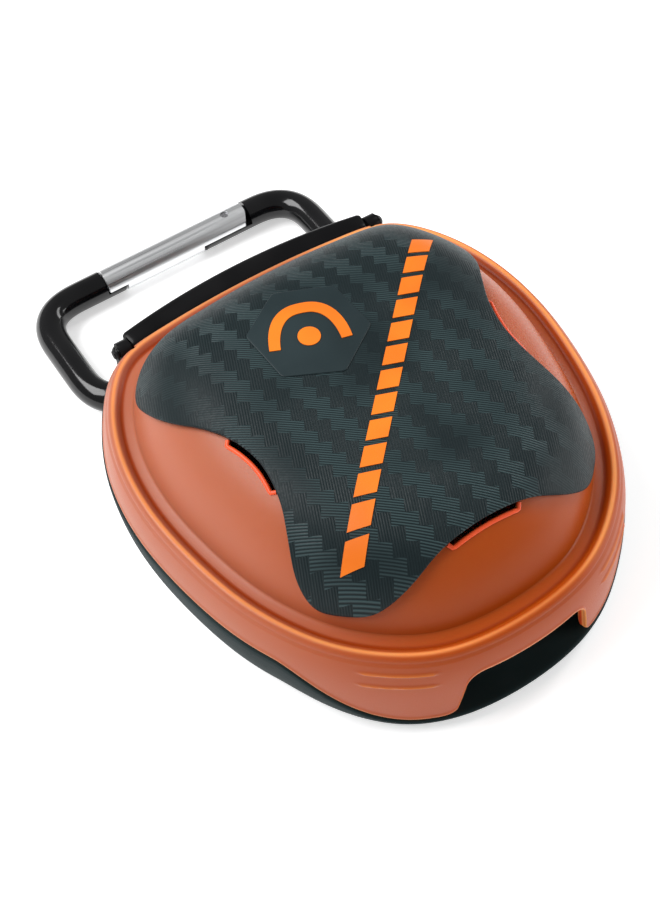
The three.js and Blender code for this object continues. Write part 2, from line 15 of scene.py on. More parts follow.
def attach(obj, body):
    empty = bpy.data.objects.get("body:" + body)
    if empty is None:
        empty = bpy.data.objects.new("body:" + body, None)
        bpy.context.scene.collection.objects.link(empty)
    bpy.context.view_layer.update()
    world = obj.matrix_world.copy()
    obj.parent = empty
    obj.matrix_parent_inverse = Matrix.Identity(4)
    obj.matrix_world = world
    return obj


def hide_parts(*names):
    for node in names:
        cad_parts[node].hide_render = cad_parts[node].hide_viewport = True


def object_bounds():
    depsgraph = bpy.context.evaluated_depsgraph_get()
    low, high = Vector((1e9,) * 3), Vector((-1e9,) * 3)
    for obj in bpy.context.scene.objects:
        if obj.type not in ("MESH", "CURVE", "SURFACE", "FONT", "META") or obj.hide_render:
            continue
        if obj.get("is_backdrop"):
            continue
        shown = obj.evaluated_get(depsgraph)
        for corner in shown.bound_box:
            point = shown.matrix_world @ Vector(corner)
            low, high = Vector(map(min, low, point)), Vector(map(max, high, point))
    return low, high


bl_info = {
    "name": "Mouthguard case",
    "version": (1, 0, 0),
    "blender": (4, 5, 0),
    "location": "View3D > Sidebar > Case",
    "description": "Builds the visible pieces of a hinged mouthguard case",
    "category": "Object",
}

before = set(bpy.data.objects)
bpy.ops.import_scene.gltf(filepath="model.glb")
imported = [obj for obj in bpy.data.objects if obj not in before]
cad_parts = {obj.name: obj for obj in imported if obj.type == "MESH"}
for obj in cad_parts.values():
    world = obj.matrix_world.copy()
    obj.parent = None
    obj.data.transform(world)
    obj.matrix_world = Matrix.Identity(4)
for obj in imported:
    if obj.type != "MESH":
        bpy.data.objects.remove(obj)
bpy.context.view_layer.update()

MM = 0.001
TAU = 2 * math.pi

# Plan of the lid's shoulder and of the badge: right half, from the front to the back.
SHOULDER_PLAN = [
    (0, -40.4), (15, -37.9), (27, -29.2), (34.6, -17), (38.6, -3), (40, 12),
    (38, 24.5), (33.5, 34), (27.5, 39.9), (14, 42.4), (0, 43),
]
BADGE_PLAN = [
    (0, -27.0), (7.5, -27.4), (14.8, -28.5), (19.7, -27.7), (23.5, -24.9), (26.5, -21),
    (26.9, -17), (25.6, -13), (23.9, -8), (23.2, -1), (24.4, 5), (26.8, 10.3),
    (29.5, 15.6), (30.9, 21.3), (30.6, 26.8), (27, 30.8), (20.5, 32.2), (10, 33), (0, 33.4),
]
DOME_CENTRE = (0.0, 2.0)
SHOULDER_Z = 21.5
GROOVE_IN = 4.0
GROOVE_Z = SHOULDER_Z - 0.9
CROWN_Z = SHOULDER_Z + 14.5
DOME_POWER = 6.2
LID_WALL = 1.6
SCOOP_Y, SCOOP_WALL = -34.6, 2.0
FLOOR_Z, RIM_Z = 2.2, 18.0

# Hinge: the pins' axis, the bar's half length and its two bowed sides, and the ears' outer side.
PIN_Y, PIN_Z = 42.5, 19.2
BAR_HALF = 24.9
BAR_INNER, BAR_INNER_BOW = 40.8, 1.9
BAR_OUTER, BAR_OUTER_BOW = 44.6, 3.0
EAR_OUT = 27.4
HINGE_FACE_Y = 40.4
SWING_R = 6.2

# Carabiner, in its own plane: the spine's middle, the tilt, the rod, the gate and its pivot.
CLIP_AT = (-3.6, 43.0, 4.6)
CLIP_TILT = math.radians(-3.1)
ROD_R = 2.9
REACH = 28.0
GATE_LEFT, GATE_RIGHT = -14.2, 17.9
LAP_LEFT, LAP_RIGHT = -10.2, 7.1
PIVOT_X = 13.7
LAP_HALF_GAP = 0.15


# ---- Shapes in plan ---------------------------------------------------------

def smooth(t):
    """3t^2 - 2t^3, held at 0 and 1 outside."""
    t = np.clip(t, 0, 1)
    return t * t * (3 - 2 * t)


def bell(value, middle, width):
    """A bump of height 1: e^(-((value - middle)/width)^2)."""
    return np.exp(-((value - middle) / width) ** 2)


def closed_outline(half, harmonics, samples=2048):
    """The half outline mirrored in x and rounded: a closed centripetal Catmull-Rom curve sampled
    evenly along its length, of which only the lowest Fourier harmonics are kept."""
    half = np.array(half, float)
    points = np.vstack([half, (half * (-1, 1))[::-1][1:-1]])
    p0, p1 = np.roll(points, 1, 0), points
    p2, p3 = np.roll(points, -1, 0), np.roll(points, -2, 0)
    d0, d1, d2 = (np.hypot(*(b - a).T)[:, None] ** 0.5 for a, b in ((p0, p1), (p1, p2), (p2, p3)))
    t1 = ((p1 - p0) / d0 - (p2 - p0) / (d0 + d1) + (p2 - p1) / d1) * d1
    t2 = ((p2 - p1) / d1 - (p3 - p1) / (d1 + d2) + (p3 - p2) / d2) * d1
    t = (np.arange(64) / 64)[None, :, None]
    p1, p2, t1, t2 = (a[:, None, :] for a in (p1, p2, t1, t2))
    curve = (p1 + t1 * t + (3 * (p2 - p1) - 2 * t1 - t2) * t ** 2
             + (2 * (p1 - p2) + t1 + t2) * t ** 3).reshape(-1, 2)
    steps = np.hypot(*(np.roll(curve, -1, 0) - curve).T)
    length = np.concatenate([[0], np.cumsum(steps)])
    at = np.arange(samples) / samples * length[-1]
    loop = np.vstack([curve, curve[:1]])
    even = np.stack([np.interp(at, length, loop[:, k]) for k in (0, 1)], 1)
    waves = np.fft.fft(even[:, 0] + 1j * even[:, 1])
    order = np.abs(np.fft.fftfreq(samples) * samples)
    waves *= np.exp(-(order / harmonics) ** 4)
    even = np.fft.ifft(waves)
    return np.stack([even.real, even.imag], 1)


def outline_at(outline, shares):
    """Points and outward unit normals at shares of the way round a closed outline."""
    n = len(outline)
    place = (np.asarray(shares) % 1) * n
    loop = np.vstack([outline, outline[:1]])
    points = np.stack([np.interp(place, np.arange(n + 1), loop[:, k]) for k in (0, 1)], 1)
    along = np.roll(outline, -1, 0) - np.roll(outline, 1, 0)
    along = np.vstack([along, along[:1]])
    along = np.stack([np.interp(place, np.arange(n + 1), along[:, k]) for k in (0, 1)], 1)
    along /= np.hypot(*along.T)[:, None]
    return points, np.stack([along[:, 1], -along[:, 0]], 1)


SHOULDER = closed_outline(SHOULDER_PLAN, 22)
BADGE = closed_outline(BADGE_PLAN, 46)


def dome_z(x, y, inset=GROOVE_IN, edge=GROOVE_Z, crown=CROWN_Z):
    """Height of the dome: edge + (crown - edge)(1 - s^p), where s is the share of the way from
    the dome's centre to its edge in that direction."""
    points, out = outline_at(SHOULDER, np.arange(1440) / 1440)
    rim = points - out * inset - DOME_CENTRE
    angle = np.unwrap(np.arctan2(rim[:, 1], rim[:, 0]))
    radius = np.hypot(*rim.T)
    angle = np.concatenate([angle - TAU, angle, angle + TAU])
    here = np.arctan2(y - DOME_CENTRE[1], x - DOME_CENTRE[0])
    s = np.hypot(x - DOME_CENTRE[0], y - DOME_CENTRE[1]) / np.interp(here, angle, np.tile(radius, 3))
    return edge + (crown - edge) * (1 - np.clip(s, 0, 1) ** DOME_POWER)


def on_dome(x, y, lift):
    """Points a lift above the dome, along its own normal."""
    h = 0.05
    gx = (dome_z(x + h, y) - dome_z(x - h, y)) / (2 * h)
    gy = (dome_z(x, y + h) - dome_z(x, y - h)) / (2 * h)
    size = np.sqrt(gx ** 2 + gy ** 2 + 1)
    lift = np.broadcast_to(lift, np.shape(x))
    return np.stack([x - lift * gx / size, y - lift * gy / size, dome_z(x, y) + lift / size], -1)


def flare(z):
    """How far the skirt stands out from the shoulder at a height: 2.5(1 - e^((z - shoulder)/4.5))."""
    return 2.5 * (1 - np.exp((z - SHOULDER_Z) / 4.5))


def skirt_edge(y):
    """Height of the skirt's lower edge: 14 at the sides, 3.7 on the front tabs, 18.2 by the hinge."""
    return 14 - 10.3 * smooth((-19.5 - y) / 17.5) + 4.2 * smooth((y - 22) / 13)


def notch_edge(x):
    """Height of the notch's edge over half its width: a top, a leaning side and two rounded corners."""
    top, half_top, half_bottom, low = 15.3, 10.8, 12.6, 3.7
    lean = np.array([half_bottom - half_top, low - top])
    lean /= np.hypot(*lean)
    t = np.linspace(0, 1, 24)[:, None]
    def corner(a, mid, b):
        return (1 - t) ** 2 * a + 2 * t * (1 - t) * mid + t ** 2 * b
    mid_top, mid_low = np.array([half_top, top]), np.array([half_bottom, low])
    upper = corner(mid_top - (3, 0), mid_top, mid_top + lean * 3.2)
    lower = corner(mid_low - lean * 2.2, mid_low, mid_low + (2.2, 0))
    path = np.vstack([[(0, top)], upper, lower, [(60, low)]])
    return np.interp(np.abs(x), path[:, 0], path[:, 1])


# ---- Meshes -----------------------------------------------------------------

def put(name, points, faces, **values):
    """A mesh object from points in millimetres and its faces, with a number per point for each
    named attribute."""
    mesh = bpy.data.meshes.new(name)
    mesh.from_pydata((np.asarray(points, float) * MM).tolist(), [], faces)
    for key, numbers in values.items():
        attribute = mesh.attributes.new(key, "FLOAT", "POINT")
        attribute.data.foreach_set("value", np.asarray(numbers, np.float32))
    mesh.validate()
    mesh.update()
    piece = bpy.data.objects.new(name, mesh)
    bpy.context.collection.objects.link(piece)
    mesh.shade_smooth()
    return piece


def grid_faces(rows, columns, wrap_columns=True):
    """Quads of a grid of points, closed round its columns unless told otherwise."""
    last = columns if wrap_columns else columns - 1
    r, c = np.meshgrid(np.arange(rows - 1), np.arange(last), indexing="ij")
    c2 = (c + 1) % columns
    corners = [r * columns + c, (r + 1) * columns + c, (r + 1) * columns + c2, r * columns + c2]
    return np.stack(corners, -1).reshape(-1, 4)


def shell(name, grid, first_pole, last_pole, **values):
    """A closed skin through rings of points (rows, columns, 3), each end closed by a fan to its
    pole. The values are numbers per point of the rings, and are 0 at the poles."""
    rows, columns = grid.shape[:2]
    points = np.vstack([grid.reshape(-1, 3), [first_pole, last_pole]])
    faces = grid_faces(rows, columns).tolist()
    ring = np.arange(columns)
    for hub, start, flip in ((-2, 0, False), (-1, (rows - 1) * columns, True)):
        fan = np.stack([np.full(columns, len(points) + hub), start + ring, start + np.roll(ring, -1)], 1)
        faces += (fan[:, ::-1] if flip else fan).tolist()
    return put(name, points, faces, **{key: np.append(v.ravel(), [0.0, 0.0]) for key, v in values.items()})


def swept(name, path, normal, section):
    """A section carried along a path, with closed ends: point = path + section_x * side +
    section_y * normal, where side is the path's direction crossed with the normal."""
    along = np.gradient(path, axis=0)
    along /= np.linalg.norm(along, axis=1)[:, None]
    normal = np.broadcast_to(np.asarray(normal, float), path.shape)
    side = np.cross(along, normal)
    side /= np.linalg.norm(side, axis=1)[:, None]
    section = np.asarray(section, float)
    if section.ndim == 2:
        section = np.broadcast_to(section, (len(path),) + section.shape)
    grid = path[:, None] + section[..., :1] * side[:, None] + section[..., 1:] * normal[:, None]
    return shell(name, grid, path[0], path[-1])


def circle(radius, count=36):
    """Points round a circle."""
    a = np.arange(count) / count * TAU
    return np.stack([np.cos(a), np.sin(a)], 1) * radius


def rod(name, start, end, radius, count=48, chamfer=0.25):
    """A round rod between two points, with chamfered ends."""
    start, end = np.array(start, float), np.array(end, float)
    along = (end - start) / np.linalg.norm(end - start)
    length = np.linalg.norm(end - start)
    normal = np.array([0, 0, 1.0]) if abs(along[2]) < 0.9 else np.array([0, 1.0, 0])
    path = np.array([start + along * d for d in (0, chamfer, length - chamfer, length)])
    section = np.stack([circle(r, count) for r in (radius - chamfer, radius, radius, radius - chamfer)])
    return swept(name, path, normal, section)


def block(name, low, high):
    """A plain box of six faces, for cutting."""
    x, y, z = ((low[k], high[k]) for k in range(3))
    corners = [(x[i], y[j], z[k]) for k in (0, 1) for i, j in ((0, 0), (1, 0), (1, 1), (0, 1))]
    faces = [(3, 2, 1, 0), (4, 5, 6, 7), (0, 1, 5, 4), (1, 2, 6, 5), (2, 3, 7, 6), (3, 0, 4, 7)]
    return put(name, corners, faces)


def prism(name, plan, low, high):
    """An upright prism on a plan outline, for cutting."""
    plan = np.asarray(plan, float)
    n = len(plan)
    area = np.sum(plan[:, 0] * np.roll(plan[:, 1], -1) - plan[:, 1] * np.roll(plan[:, 0], -1))
    plan = plan if area > 0 else plan[::-1]
    points = [(*p, low) for p in plan] + [(*p, high) for p in plan]
    faces = [tuple(range(n))[::-1], tuple(range(n, 2 * n))]
    faces += [(i, (i + 1) % n, (i + 1) % n + n, i + n) for i in range(n)]
    return put(name, points, faces)


def baked(piece):
    """Applies every modifier to the mesh."""
    bpy.context.view_layer.update()
    evaluated = piece.evaluated_get(bpy.context.evaluated_depsgraph_get())
    mesh = bpy.data.meshes.new_from_object(evaluated)
    old = piece.data
    piece.modifiers.clear()
    piece.data = mesh
    mesh.name = piece.name
    bpy.data.meshes.remove(old)
    return piece


def carve(piece, cutters, operation="DIFFERENCE"):
    """Cuts the cutters out of a piece, or joins them to it, and removes them."""
    for cutter in cutters:
        modifier = piece.modifiers.new("carve", "BOOLEAN")
        modifier.operation = operation
        modifier.solver = "EXACT"
        modifier.object = cutter
    baked(piece)
    for cutter in cutters:
        mesh = cutter.data
        bpy.data.objects.remove(cutter)
        bpy.data.meshes.remove(mesh)
    return piece


def rounded(piece, width):
    """Rounds every edge sharper than 35 degrees."""
    bevel = piece.modifiers.new("bevel", "BEVEL")
    bevel.width = width * MM
    bevel.segments = 3
    bevel.limit_method = "ANGLE"
    bevel.angle_limit = math.radians(35)
    bevel.use_clamp_overlap = True
    return baked(piece)


def crisp(piece, degrees=35):
    """Smooth shading, broken at edges sharper than an angle."""
    piece.data.shade_smooth()
    piece.data.set_sharp_from_angle(angle=math.radians(degrees))
    return piece


def finished(piece, body, slot, material, *nodes):
    """Gives a piece its material and its body, and hides the CAD nodes that it stands for. The slot is not
    used.
    """
    piece.data.materials.clear()
    piece.data.materials.append(material)
    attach(piece, body)
    if nodes:
        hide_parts(*nodes)
    return piece


# ---- Materials --------------------------------------------------------------

class Finish:
    """A node material with short ways to add nodes and links."""

    def __init__(self, name):
        self.material = bpy.data.materials.new(name)
        self.material.use_nodes = True
        self.nodes = self.material.node_tree.nodes
        self.links = self.material.node_tree.links
        self.shader = self.nodes["Principled BSDF"]
        self.place = self.add("ShaderNodeTexCoord").outputs["Object"]

    def add(self, kind, **settings):
        node = self.nodes.new(kind)
        for key, value in settings.items():
            setattr(node, key, value)
        return node

    def feed(self, socket, value):
        if isinstance(value, bpy.types.NodeSocket):
            self.links.new(value, socket)
        else:
            socket.default_value = value

    def math(self, operation, a, b=0.0, c=0.0):
        node = self.add("ShaderNodeMath", operation=operation)
        for socket, value in zip(node.inputs, (a, b, c)):
            self.feed(socket, value)
        return node.outputs[0]

    def noise(self, scale, detail=3.0, rough=0.55, place=None):
        node = self.add("ShaderNodeTexNoise")
        self.feed(node.inputs["Vector"], place or self.place)
        node.inputs["Scale"].default_value = scale
        node.inputs["Detail"].default_value = detail
        node.inputs["Roughness"].default_value = rough
        return node.outputs["Fac"]

    def turned(self, degrees=0.0, scale=(1, 1, 1)):
        node = self.add("ShaderNodeMapping")
        self.links.new(self.place, node.inputs["Vector"])
        node.inputs["Rotation"].default_value = (0, 0, math.radians(degrees))
        node.inputs["Scale"].default_value = scale
        return node.outputs["Vector"]

    def axes(self, place=None):
        node = self.add("ShaderNodeSeparateXYZ")
        self.links.new(place or self.place, node.inputs[0])
        return node.outputs

    def between(self, value, low, high, to_low=0.0, to_high=1.0):
        node = self.add("ShaderNodeMapRange", interpolation_type="SMOOTHSTEP")
        self.feed(node.inputs["Value"], value)
        for key, number in (("From Min", low), ("From Max", high), ("To Min", to_low), ("To Max", to_high)):
            node.inputs[key].default_value = number
        return node.outputs[0]

    def blend(self, share, a, b):
        node = self.add("ShaderNodeMix", data_type="RGBA")
        self.feed(node.inputs[0], share)
        self.feed(node.inputs[6], self.colour(a))
        self.feed(node.inputs[7], self.colour(b))
        return node.outputs[2]

    @staticmethod
    def colour(value):
        """A socket as it is, and three numbers with a fourth for opacity."""
        return value if isinstance(value, bpy.types.NodeSocket) else (*value, 1)

    def bump(self, height, distance, strength=1.0, under=None):
        node = self.add("ShaderNodeBump")
        node.inputs["Distance"].default_value = distance
        node.inputs["Strength"].default_value = strength
        self.feed(node.inputs["Height"], height)
        if under:
            self.links.new(under, node.inputs["Normal"])
        return node.outputs[0]

    def done(self, colour, roughness, normal, **fixed):
        """The material, with its colour, roughness and normal, and any fixed shader inputs by name."""
        self.feed(self.shader.inputs["Base Color"], self.colour(colour))
        self.feed(self.shader.inputs["Roughness"], roughness)
        self.links.new(normal, self.shader.inputs["Normal"])
        for key, value in fixed.items():
            self.shader.inputs[key.replace("_", " ")].default_value = value
        return self.material


def moulded(name, colour, roughness, grain=9000, depth=0.00003, scuff=0.25, **fixed):
    """Moulded plastic: a fine grain, faint flow clouds in the colour, and light scuffs."""
    f = Finish(name)
    cloud = f.noise(60, 2.0)
    fine = f.noise(grain, 2.0)
    lighter = tuple(min(1, c * 1.35 + 0.004) for c in colour)
    tint = f.blend(f.between(cloud, 0.35, 0.7), colour, lighter)
    worn = f.between(f.noise(700, 4.0, 0.7), 0.55, 0.75, 0.0, scuff)
    rough = f.math("ADD", f.math("MULTIPLY", worn, 0.4), roughness)
    return f.done(tint, rough, f.bump(fine, depth, 0.5), **fixed)


def lid_material(settings):
    """Frosted translucent orange. Painted light and shade: a fixed sweep across x and y paints it paler on
    the side the light comes through (left and back) and deeper on the other (right and front). The piece's
    "rim" attribute paints a highlight on the thin rolled edges (above 0), paints shade in the groove (below
    0), and paints a glow of light through the wall on the cut edges (above 1). A fine frosting roughens it."""
    f = Finish("lid_orange")
    x, y, z = f.axes()
    # Painted light and shade: paler where x is low and y is high, towards the key light, deeper on the
    # right and front.
    sweep = f.math("ADD", f.math("MULTIPLY", x, 0.75), f.math("MULTIPLY", y, -0.9))
    deep = f.between(sweep, -0.03, 0.03)
    cloud = f.noise(45, 2.0)
    deep = f.math("ADD", f.math("MULTIPLY", deep, 0.9), f.math("MULTIPLY", cloud, 0.1))
    colour = f.blend(deep, tuple(settings.lid_painted_light), tuple(settings.lid_painted_shade))
    rim = f.add("ShaderNodeAttribute", attribute_name="rim").outputs["Fac"]
    # Painted highlight on the rolled edges, the skirt's lip and the grip lines.
    colour = f.blend(f.between(rim, 0.0, 1.0), colour, tuple(settings.lid_rim_highlight))
    # Painted shade in the groove.
    colour = f.blend(f.between(rim, 0.0, -1.0), colour, tuple(settings.lid_groove_shade))
    # Painted glow of light through the wall on the cut edges.
    colour = f.blend(f.between(rim, 1.2, 1.8), colour, tuple(settings.lid_cut_glow))
    frost = f.noise(5200, 3.0, 0.6)
    rough = f.between(frost, 0.3, 0.7, 0.32, 0.42)
    return f.done(colour, rough, f.bump(frost, 0.00003, 0.35), Subsurface_Weight=0.25,
                  Subsurface_Radius=(0.004, 0.0014, 0.0005), Subsurface_Scale=1.0,
                  Specular_IOR_Level=0.22)


def weave_height(f, cell):
    """A two-by-two twill of square cells: where floor(u) + floor(v) is 0 or 1 of 4 the ribs run
    along u, and elsewhere along v. Each cell is a low pillow. Returns the ribs, the pillows and
    where the threads along u lie over the others."""
    u, v, _ = f.axes(f.turned(31, (1 / cell, 1 / cell, 1 / cell)))
    step = f.math("FLOORED_MODULO", f.math("ADD", f.math("FLOOR", u), f.math("FLOOR", v)), 4.0)
    over = f.math("LESS_THAN", step, 1.5)
    under = f.math("SUBTRACT", 1.0, over)
    along = f.math("SINE", f.math("MULTIPLY", f.math("ADD", v, f.math("MULTIPLY", u, 0.16)), TAU * 5))
    across = f.math("SINE", f.math("MULTIPLY", f.math("ADD", u, f.math("MULTIPLY", v, 0.16)), TAU * 5))
    edge_u = f.math("ABSOLUTE", f.math("SUBTRACT", f.math("FRACT", u), 0.5))
    edge_v = f.math("ABSOLUTE", f.math("SUBTRACT", f.math("FRACT", v), 0.5))
    ribs = f.math("ADD", f.math("MULTIPLY", over, along), f.math("MULTIPLY", under, across))
    pillow = f.math("ADD", f.math("MULTIPLY", over, f.math("SUBTRACT", 1.0, edge_v)),
                    f.math("MULTIPLY", under, f.math("SUBTRACT", 1.0, edge_u)))
    return ribs, pillow, over


def badge_material(settings):
    """Dark slate with a moulded twill that is stronger in some patches than in others. The threads that lie
    along one way and the ribs' crests are painted paler: a painted sheen.
    """
    f = Finish("badge_twill")
    ribs, pillow, over = weave_height(f, settings.weave_cell)
    patch = f.between(f.noise(55, 1.0), 0.36, 0.6, 0.2, 1.0)
    base = tuple(settings.badge_colour)
    lighter = tuple(settings.badge_thread_sheen)
    # Painted sheen: the threads lying along u and the ribs' crests are painted towards the paler thread
    # colour.
    thread_sheen = f.math("MULTIPLY", f.math("MULTIPLY", over, patch), 0.3)
    thread_sheen = f.math("ADD", thread_sheen, f.math("MULTIPLY", f.math("MULTIPLY", ribs, f.math("ADD", over, 0.35)),
                                    f.math("MULTIPLY", patch, 0.3)))
    colour = f.blend(thread_sheen, base, lighter)
    normal = f.bump(f.math("MULTIPLY", ribs, patch), 0.00006, 0.5)
    normal = f.bump(f.math("MULTIPLY", pillow, patch), 0.00014, 0.6, normal)
    rough = f.between(f.noise(2500, 2.0), 0.3, 0.7, 0.4, 0.52)
    return f.done(colour, rough, normal, Specular_IOR_Level=0.16)


def brushed(name, colour, roughness, along="x"):
    """Drawn metal: long fine lines along one axis, over faint clouds in the colour."""
    f = Finish(name)
    scale = {"x": (25, 2600, 2600), "z": (2600, 2600, 25)}[along]
    lines = f.noise(1.0, 2.0, 0.6, f.turned(0, scale))
    rough = f.between(lines, 0.3, 0.7, roughness * 0.8, roughness * 1.3)
    tint = f.blend(f.noise(90, 2.0), colour, tuple(c * 0.92 for c in colour))
    return f.done(tint, rough, f.bump(lines, 0.000008, 0.3), Metallic=1.0)


def rubber(name, colour, roughness, soft=0.0):
    """Moulded rubber or gel: a matt skin with fine pores."""
    f = Finish(name)
    pores = f.noise(6500, 3.0, 0.6)
    tint = f.blend(f.noise(120, 2.0), colour, tuple(min(1, c * 1.25 + 0.01) for c in colour))
    rough = f.between(pores, 0.3, 0.7, roughness, roughness + 0.12)
    return f.done(tint, rough, f.bump(pores, 0.00003, 0.4),
                  Subsurface_Weight=soft, Subsurface_Radius=(0.004, 0.0014, 0.0006), Subsurface_Scale=1.0)


# ---- Settings ---------------------------------------------------------------

def colour_setting(name, description, default):
    """A colour that the panel shows."""
    return bpy.props.FloatVectorProperty(name=name, description=description, subtype="COLOR",
                                         size=3, min=0, max=1, default=default)


class CaseSettings(bpy.types.PropertyGroup):
    """Colours and small sizes of the case."""
    # Painted light and painted shade of the lid's two sides.
    lid_painted_light: colour_setting("Lid, light side", "Lid where light comes through", (0.45, 0.135, 0.072))
    lid_painted_shade: colour_setting("Lid, deep side", "Lid on the shaded side", (0.42, 0.062, 0.0))
    # Painted highlight of the rolled edges.
    lid_rim_highlight: colour_setting("Lid rim", "Paler orange of the rolled edges", (1.0, 0.38, 0.12))
    # Painted shade of the groove.
    lid_groove_shade: colour_setting("Lid groove", "Deeper orange of the groove", (0.3, 0.035, 0.001))
    # Painted glow of the cut edges and the vents' lips.
    lid_cut_glow: colour_setting("Lid cut edges", "Cut edges and the vents' lips", (0.85, 0.085, 0.02))
    badge_colour: colour_setting("Badge", "Dark slate of the badge", (0.008, 0.015, 0.017))
    # Painted sheen of the raised threads.
    badge_thread_sheen: colour_setting("Badge thread", "Paler slate of the raised threads", (0.06, 0.1, 0.105))
    slate_colour: colour_setting("Base", "Dark slate of the base", (0.008, 0.018, 0.019))
    mark_colour: colour_setting("Marks", "Orange of the icon and the bars", (0.85, 0.17, 0.002))
    weave_cell: bpy.props.FloatProperty(name="Weave cell", description="Width of one cell of the twill",
                                        default=0.0021, min=0.0005, max=0.005, unit="LENGTH", precision=4)
    grip_rise: bpy.props.FloatProperty(name="Grip rise", description="Height of the grip lines on the tabs",
                                       default=0.0003, min=0, max=0.001, unit="LENGTH", precision=5)


class ClipSettings(bpy.types.PropertyGroup):
    """Colours of the carabiner and the hinge."""
    enamel_colour: colour_setting("Enamel", "Black coat of the carabiner", (0.002, 0.002, 0.0025))
    black_colour: colour_setting("Hinge", "Black plastic of the hinge", (0.003, 0.003, 0.0035))
    gate_colour: colour_setting("Gate", "Polished aluminium of the gate", (0.86, 0.87, 0.88))


# ---- Lid --------------------------------------------------------------------

def lid_stations():
    """Shares of the way round the shoulder, closer together at the notch's steep sides."""
    even = np.arange(4096) / 4096
    points, _ = outline_at(SHOULDER, even)
    beside = (points[:, 1] < -30) * np.exp(-((np.abs(points[:, 0]) - 11.7) / 1.3) ** 4)
    weight = np.cumsum(1 + 9 * beside)
    count = 600
    wanted = np.arange(count) / count * weight[-1]
    return np.interp(wanted, np.concatenate([[0], weight]), np.arange(4097) / 4096)


def lid_grid(grip):
    """Rings of the lid. Outside: the dome's shares, then the groove, the rounded shoulder and the
    skirt, which stands out by its flare down to its edge. Inside: the same, a wall's thickness in."""
    points, out = outline_at(SHOULDER, lid_stations())
    x, y = points.T
    edge = skirt_edge(y)
    edge = np.where(y < -30, np.maximum(edge, notch_edge(x)), edge)
    rows, painted_light_and_shade = [], []

    # Each ring carries a "rim" value for the lid's painted highlights, painted shade and painted glow.
    def ring(offset, z, rim=0.0):
        offset, z = np.broadcast_to(offset, x.shape), np.broadcast_to(z, x.shape)
        rows.append(np.column_stack([points + out * offset[:, None], z]))
        painted_light_and_shade.append(np.broadcast_to(rim, x.shape))

    def dome_row(share, inset, low, high):
        plan = np.array(DOME_CENTRE) + share * (points - out * inset - DOME_CENTRE)
        z = low + (high - low) * (1 - share ** DOME_POWER)
        rows.append(np.column_stack([plan, np.full(len(x), z)]))
        painted_light_and_shade.append(np.zeros(len(x)))

    shares = 1 - (1 - np.linspace(0.04, 0.985, 44)) ** 1.25
    for share in shares:
        dome_row(share, GROOVE_IN, GROOVE_Z, CROWN_Z)
    profile = np.array([
        (-4.3, 21.25), (-4.0, 20.98), (-3.5, 20.8), (-3.0, 20.68), (-2.5, 20.6), (-2.1, 20.62),
        (-1.75, 20.85), (-1.4, 21.2), (-1.05, 21.42), (-0.65, 21.5), (-0.3, 21.4), (0.0, 21.15),
        (0.25, 20.75), (0.38, 20.3),
    ])
    at = np.linspace(0, len(profile) - 1, 40)
    for offset, z in np.stack([np.interp(at, np.arange(len(profile)), profile[:, k]) for k in (0, 1)], 1):
        # The "rim" value paints a highlight on the rolled shoulder, stronger at the left and right sides,
        # and paints shade in the groove just inside it.
        painted_highlight = 0.4 + 0.25 * smooth((6 - x) / 30) + 0.5 * smooth((x - 6) / 20)
        ring(offset, z, painted_highlight * bell(offset, -0.8, 0.45) - 0.9 * bell(offset, -2.15, 0.45))
    top = 19.9
    notch_top = np.exp(-(np.abs(x) / 12.2) ** 10) * (y < -30)
    for share in np.linspace(0, 1, 66):
        z = top + (edge - top) * share
        lines = sum(bell(z, level, 0.28) for level in (18.2, 15.2))
        reach = smooth((np.abs(x) - 15.0) / 1.2) * smooth((25.6 - np.abs(x)) / 1.2) * (y < -20)
        grips = grip * lines * reach
        bead = 0.16 * bell(z, edge + 0.75, 0.4) * (1 - 0.4 * notch_top)
        round_off = 0.35 * np.clip(1 - (z - edge) / 0.45, 0, 1) ** 2
        # The "rim" value paints a highlight along the skirt's lower lip and on the grip lines.
        ring(flare(z) + grips + bead - round_off, z, 0.7 * bell(z, edge + 0.3, 0.45) + grips * 1.5)
    for share in np.linspace(0, 1, 14):
        z = edge + (np.maximum(19.1, edge + 0.3) - edge) * share
        inside = flare(z) - 1.5 + 0.25 * np.clip(1 - (z - edge) / 0.3, 0, 1)
        # The inner ring at the edge gets a "rim" value above 1: the cut face is painted with a glow of
        # light through the wall.
        ring(inside * (1 - share) - 1.4 * share, z, 2.6 * (share == 0))
    ring(-GROOVE_IN, GROOVE_Z - LID_WALL)
    for share in shares[::-1]:
        dome_row(share, GROOVE_IN + 1.3, GROOVE_Z - LID_WALL, CROWN_Z - LID_WALL)
    return np.array(rows), np.array(painted_light_and_shade)


def bar_sides(x):
    """The bar's inner and outer sides over x: y = y0 + bow(1 - (x / ear's outer side)^2)."""
    bow = 1 - (x / EAR_OUT) ** 2
    return BAR_INNER + BAR_INNER_BOW * bow, BAR_OUTER + BAR_OUTER_BOW * bow


def vent_runs():
    """The badge's outline beside each vent, as points and outward normals: left, front and right."""
    points, out = outline_at(BADGE, np.arange(1600) / 1600 - 0.5)
    x, y = points.T
    beside = np.abs(y - 0.2) < 6.3
    stretches = (beside & (x < 0), (np.abs(x) < 6.8) & (y < 0), beside & (x > 0))
    return [(points[here], out[here]) for here in stretches]


def vent_slots():
    """Plans of the vents: from under the badge's edge to 0.7 mm outside it, with square ends."""
    return [np.vstack([points - out * 1.2, (points + out * 0.7)[::-1]]) for points, out in vent_runs()]


def vent_lips():
    """A rounded bead along the outer edge of each vent, turned in to the badge at both ends. Its
    section is an ellipse on the dome's normal."""
    lips = []
    for number, (points, out) in enumerate(vent_runs()):
        share = np.linspace(0, 1, len(points))
        leave = 1.05 * (1 - np.clip(np.abs(share - 0.5) * 2 - 0.93, 0, 1) / 0.07 * 0.8)
        plan = points + out * leave[:, None]
        path = on_dome(*plan.T, 0.0)
        normal = on_dome(*plan.T, 1.0) - path
        lips.append(swept(f"vent_lip_{number}", path[::3], normal[::3], circle(1.0, 20) * (0.38, 0.32)))
    return lips


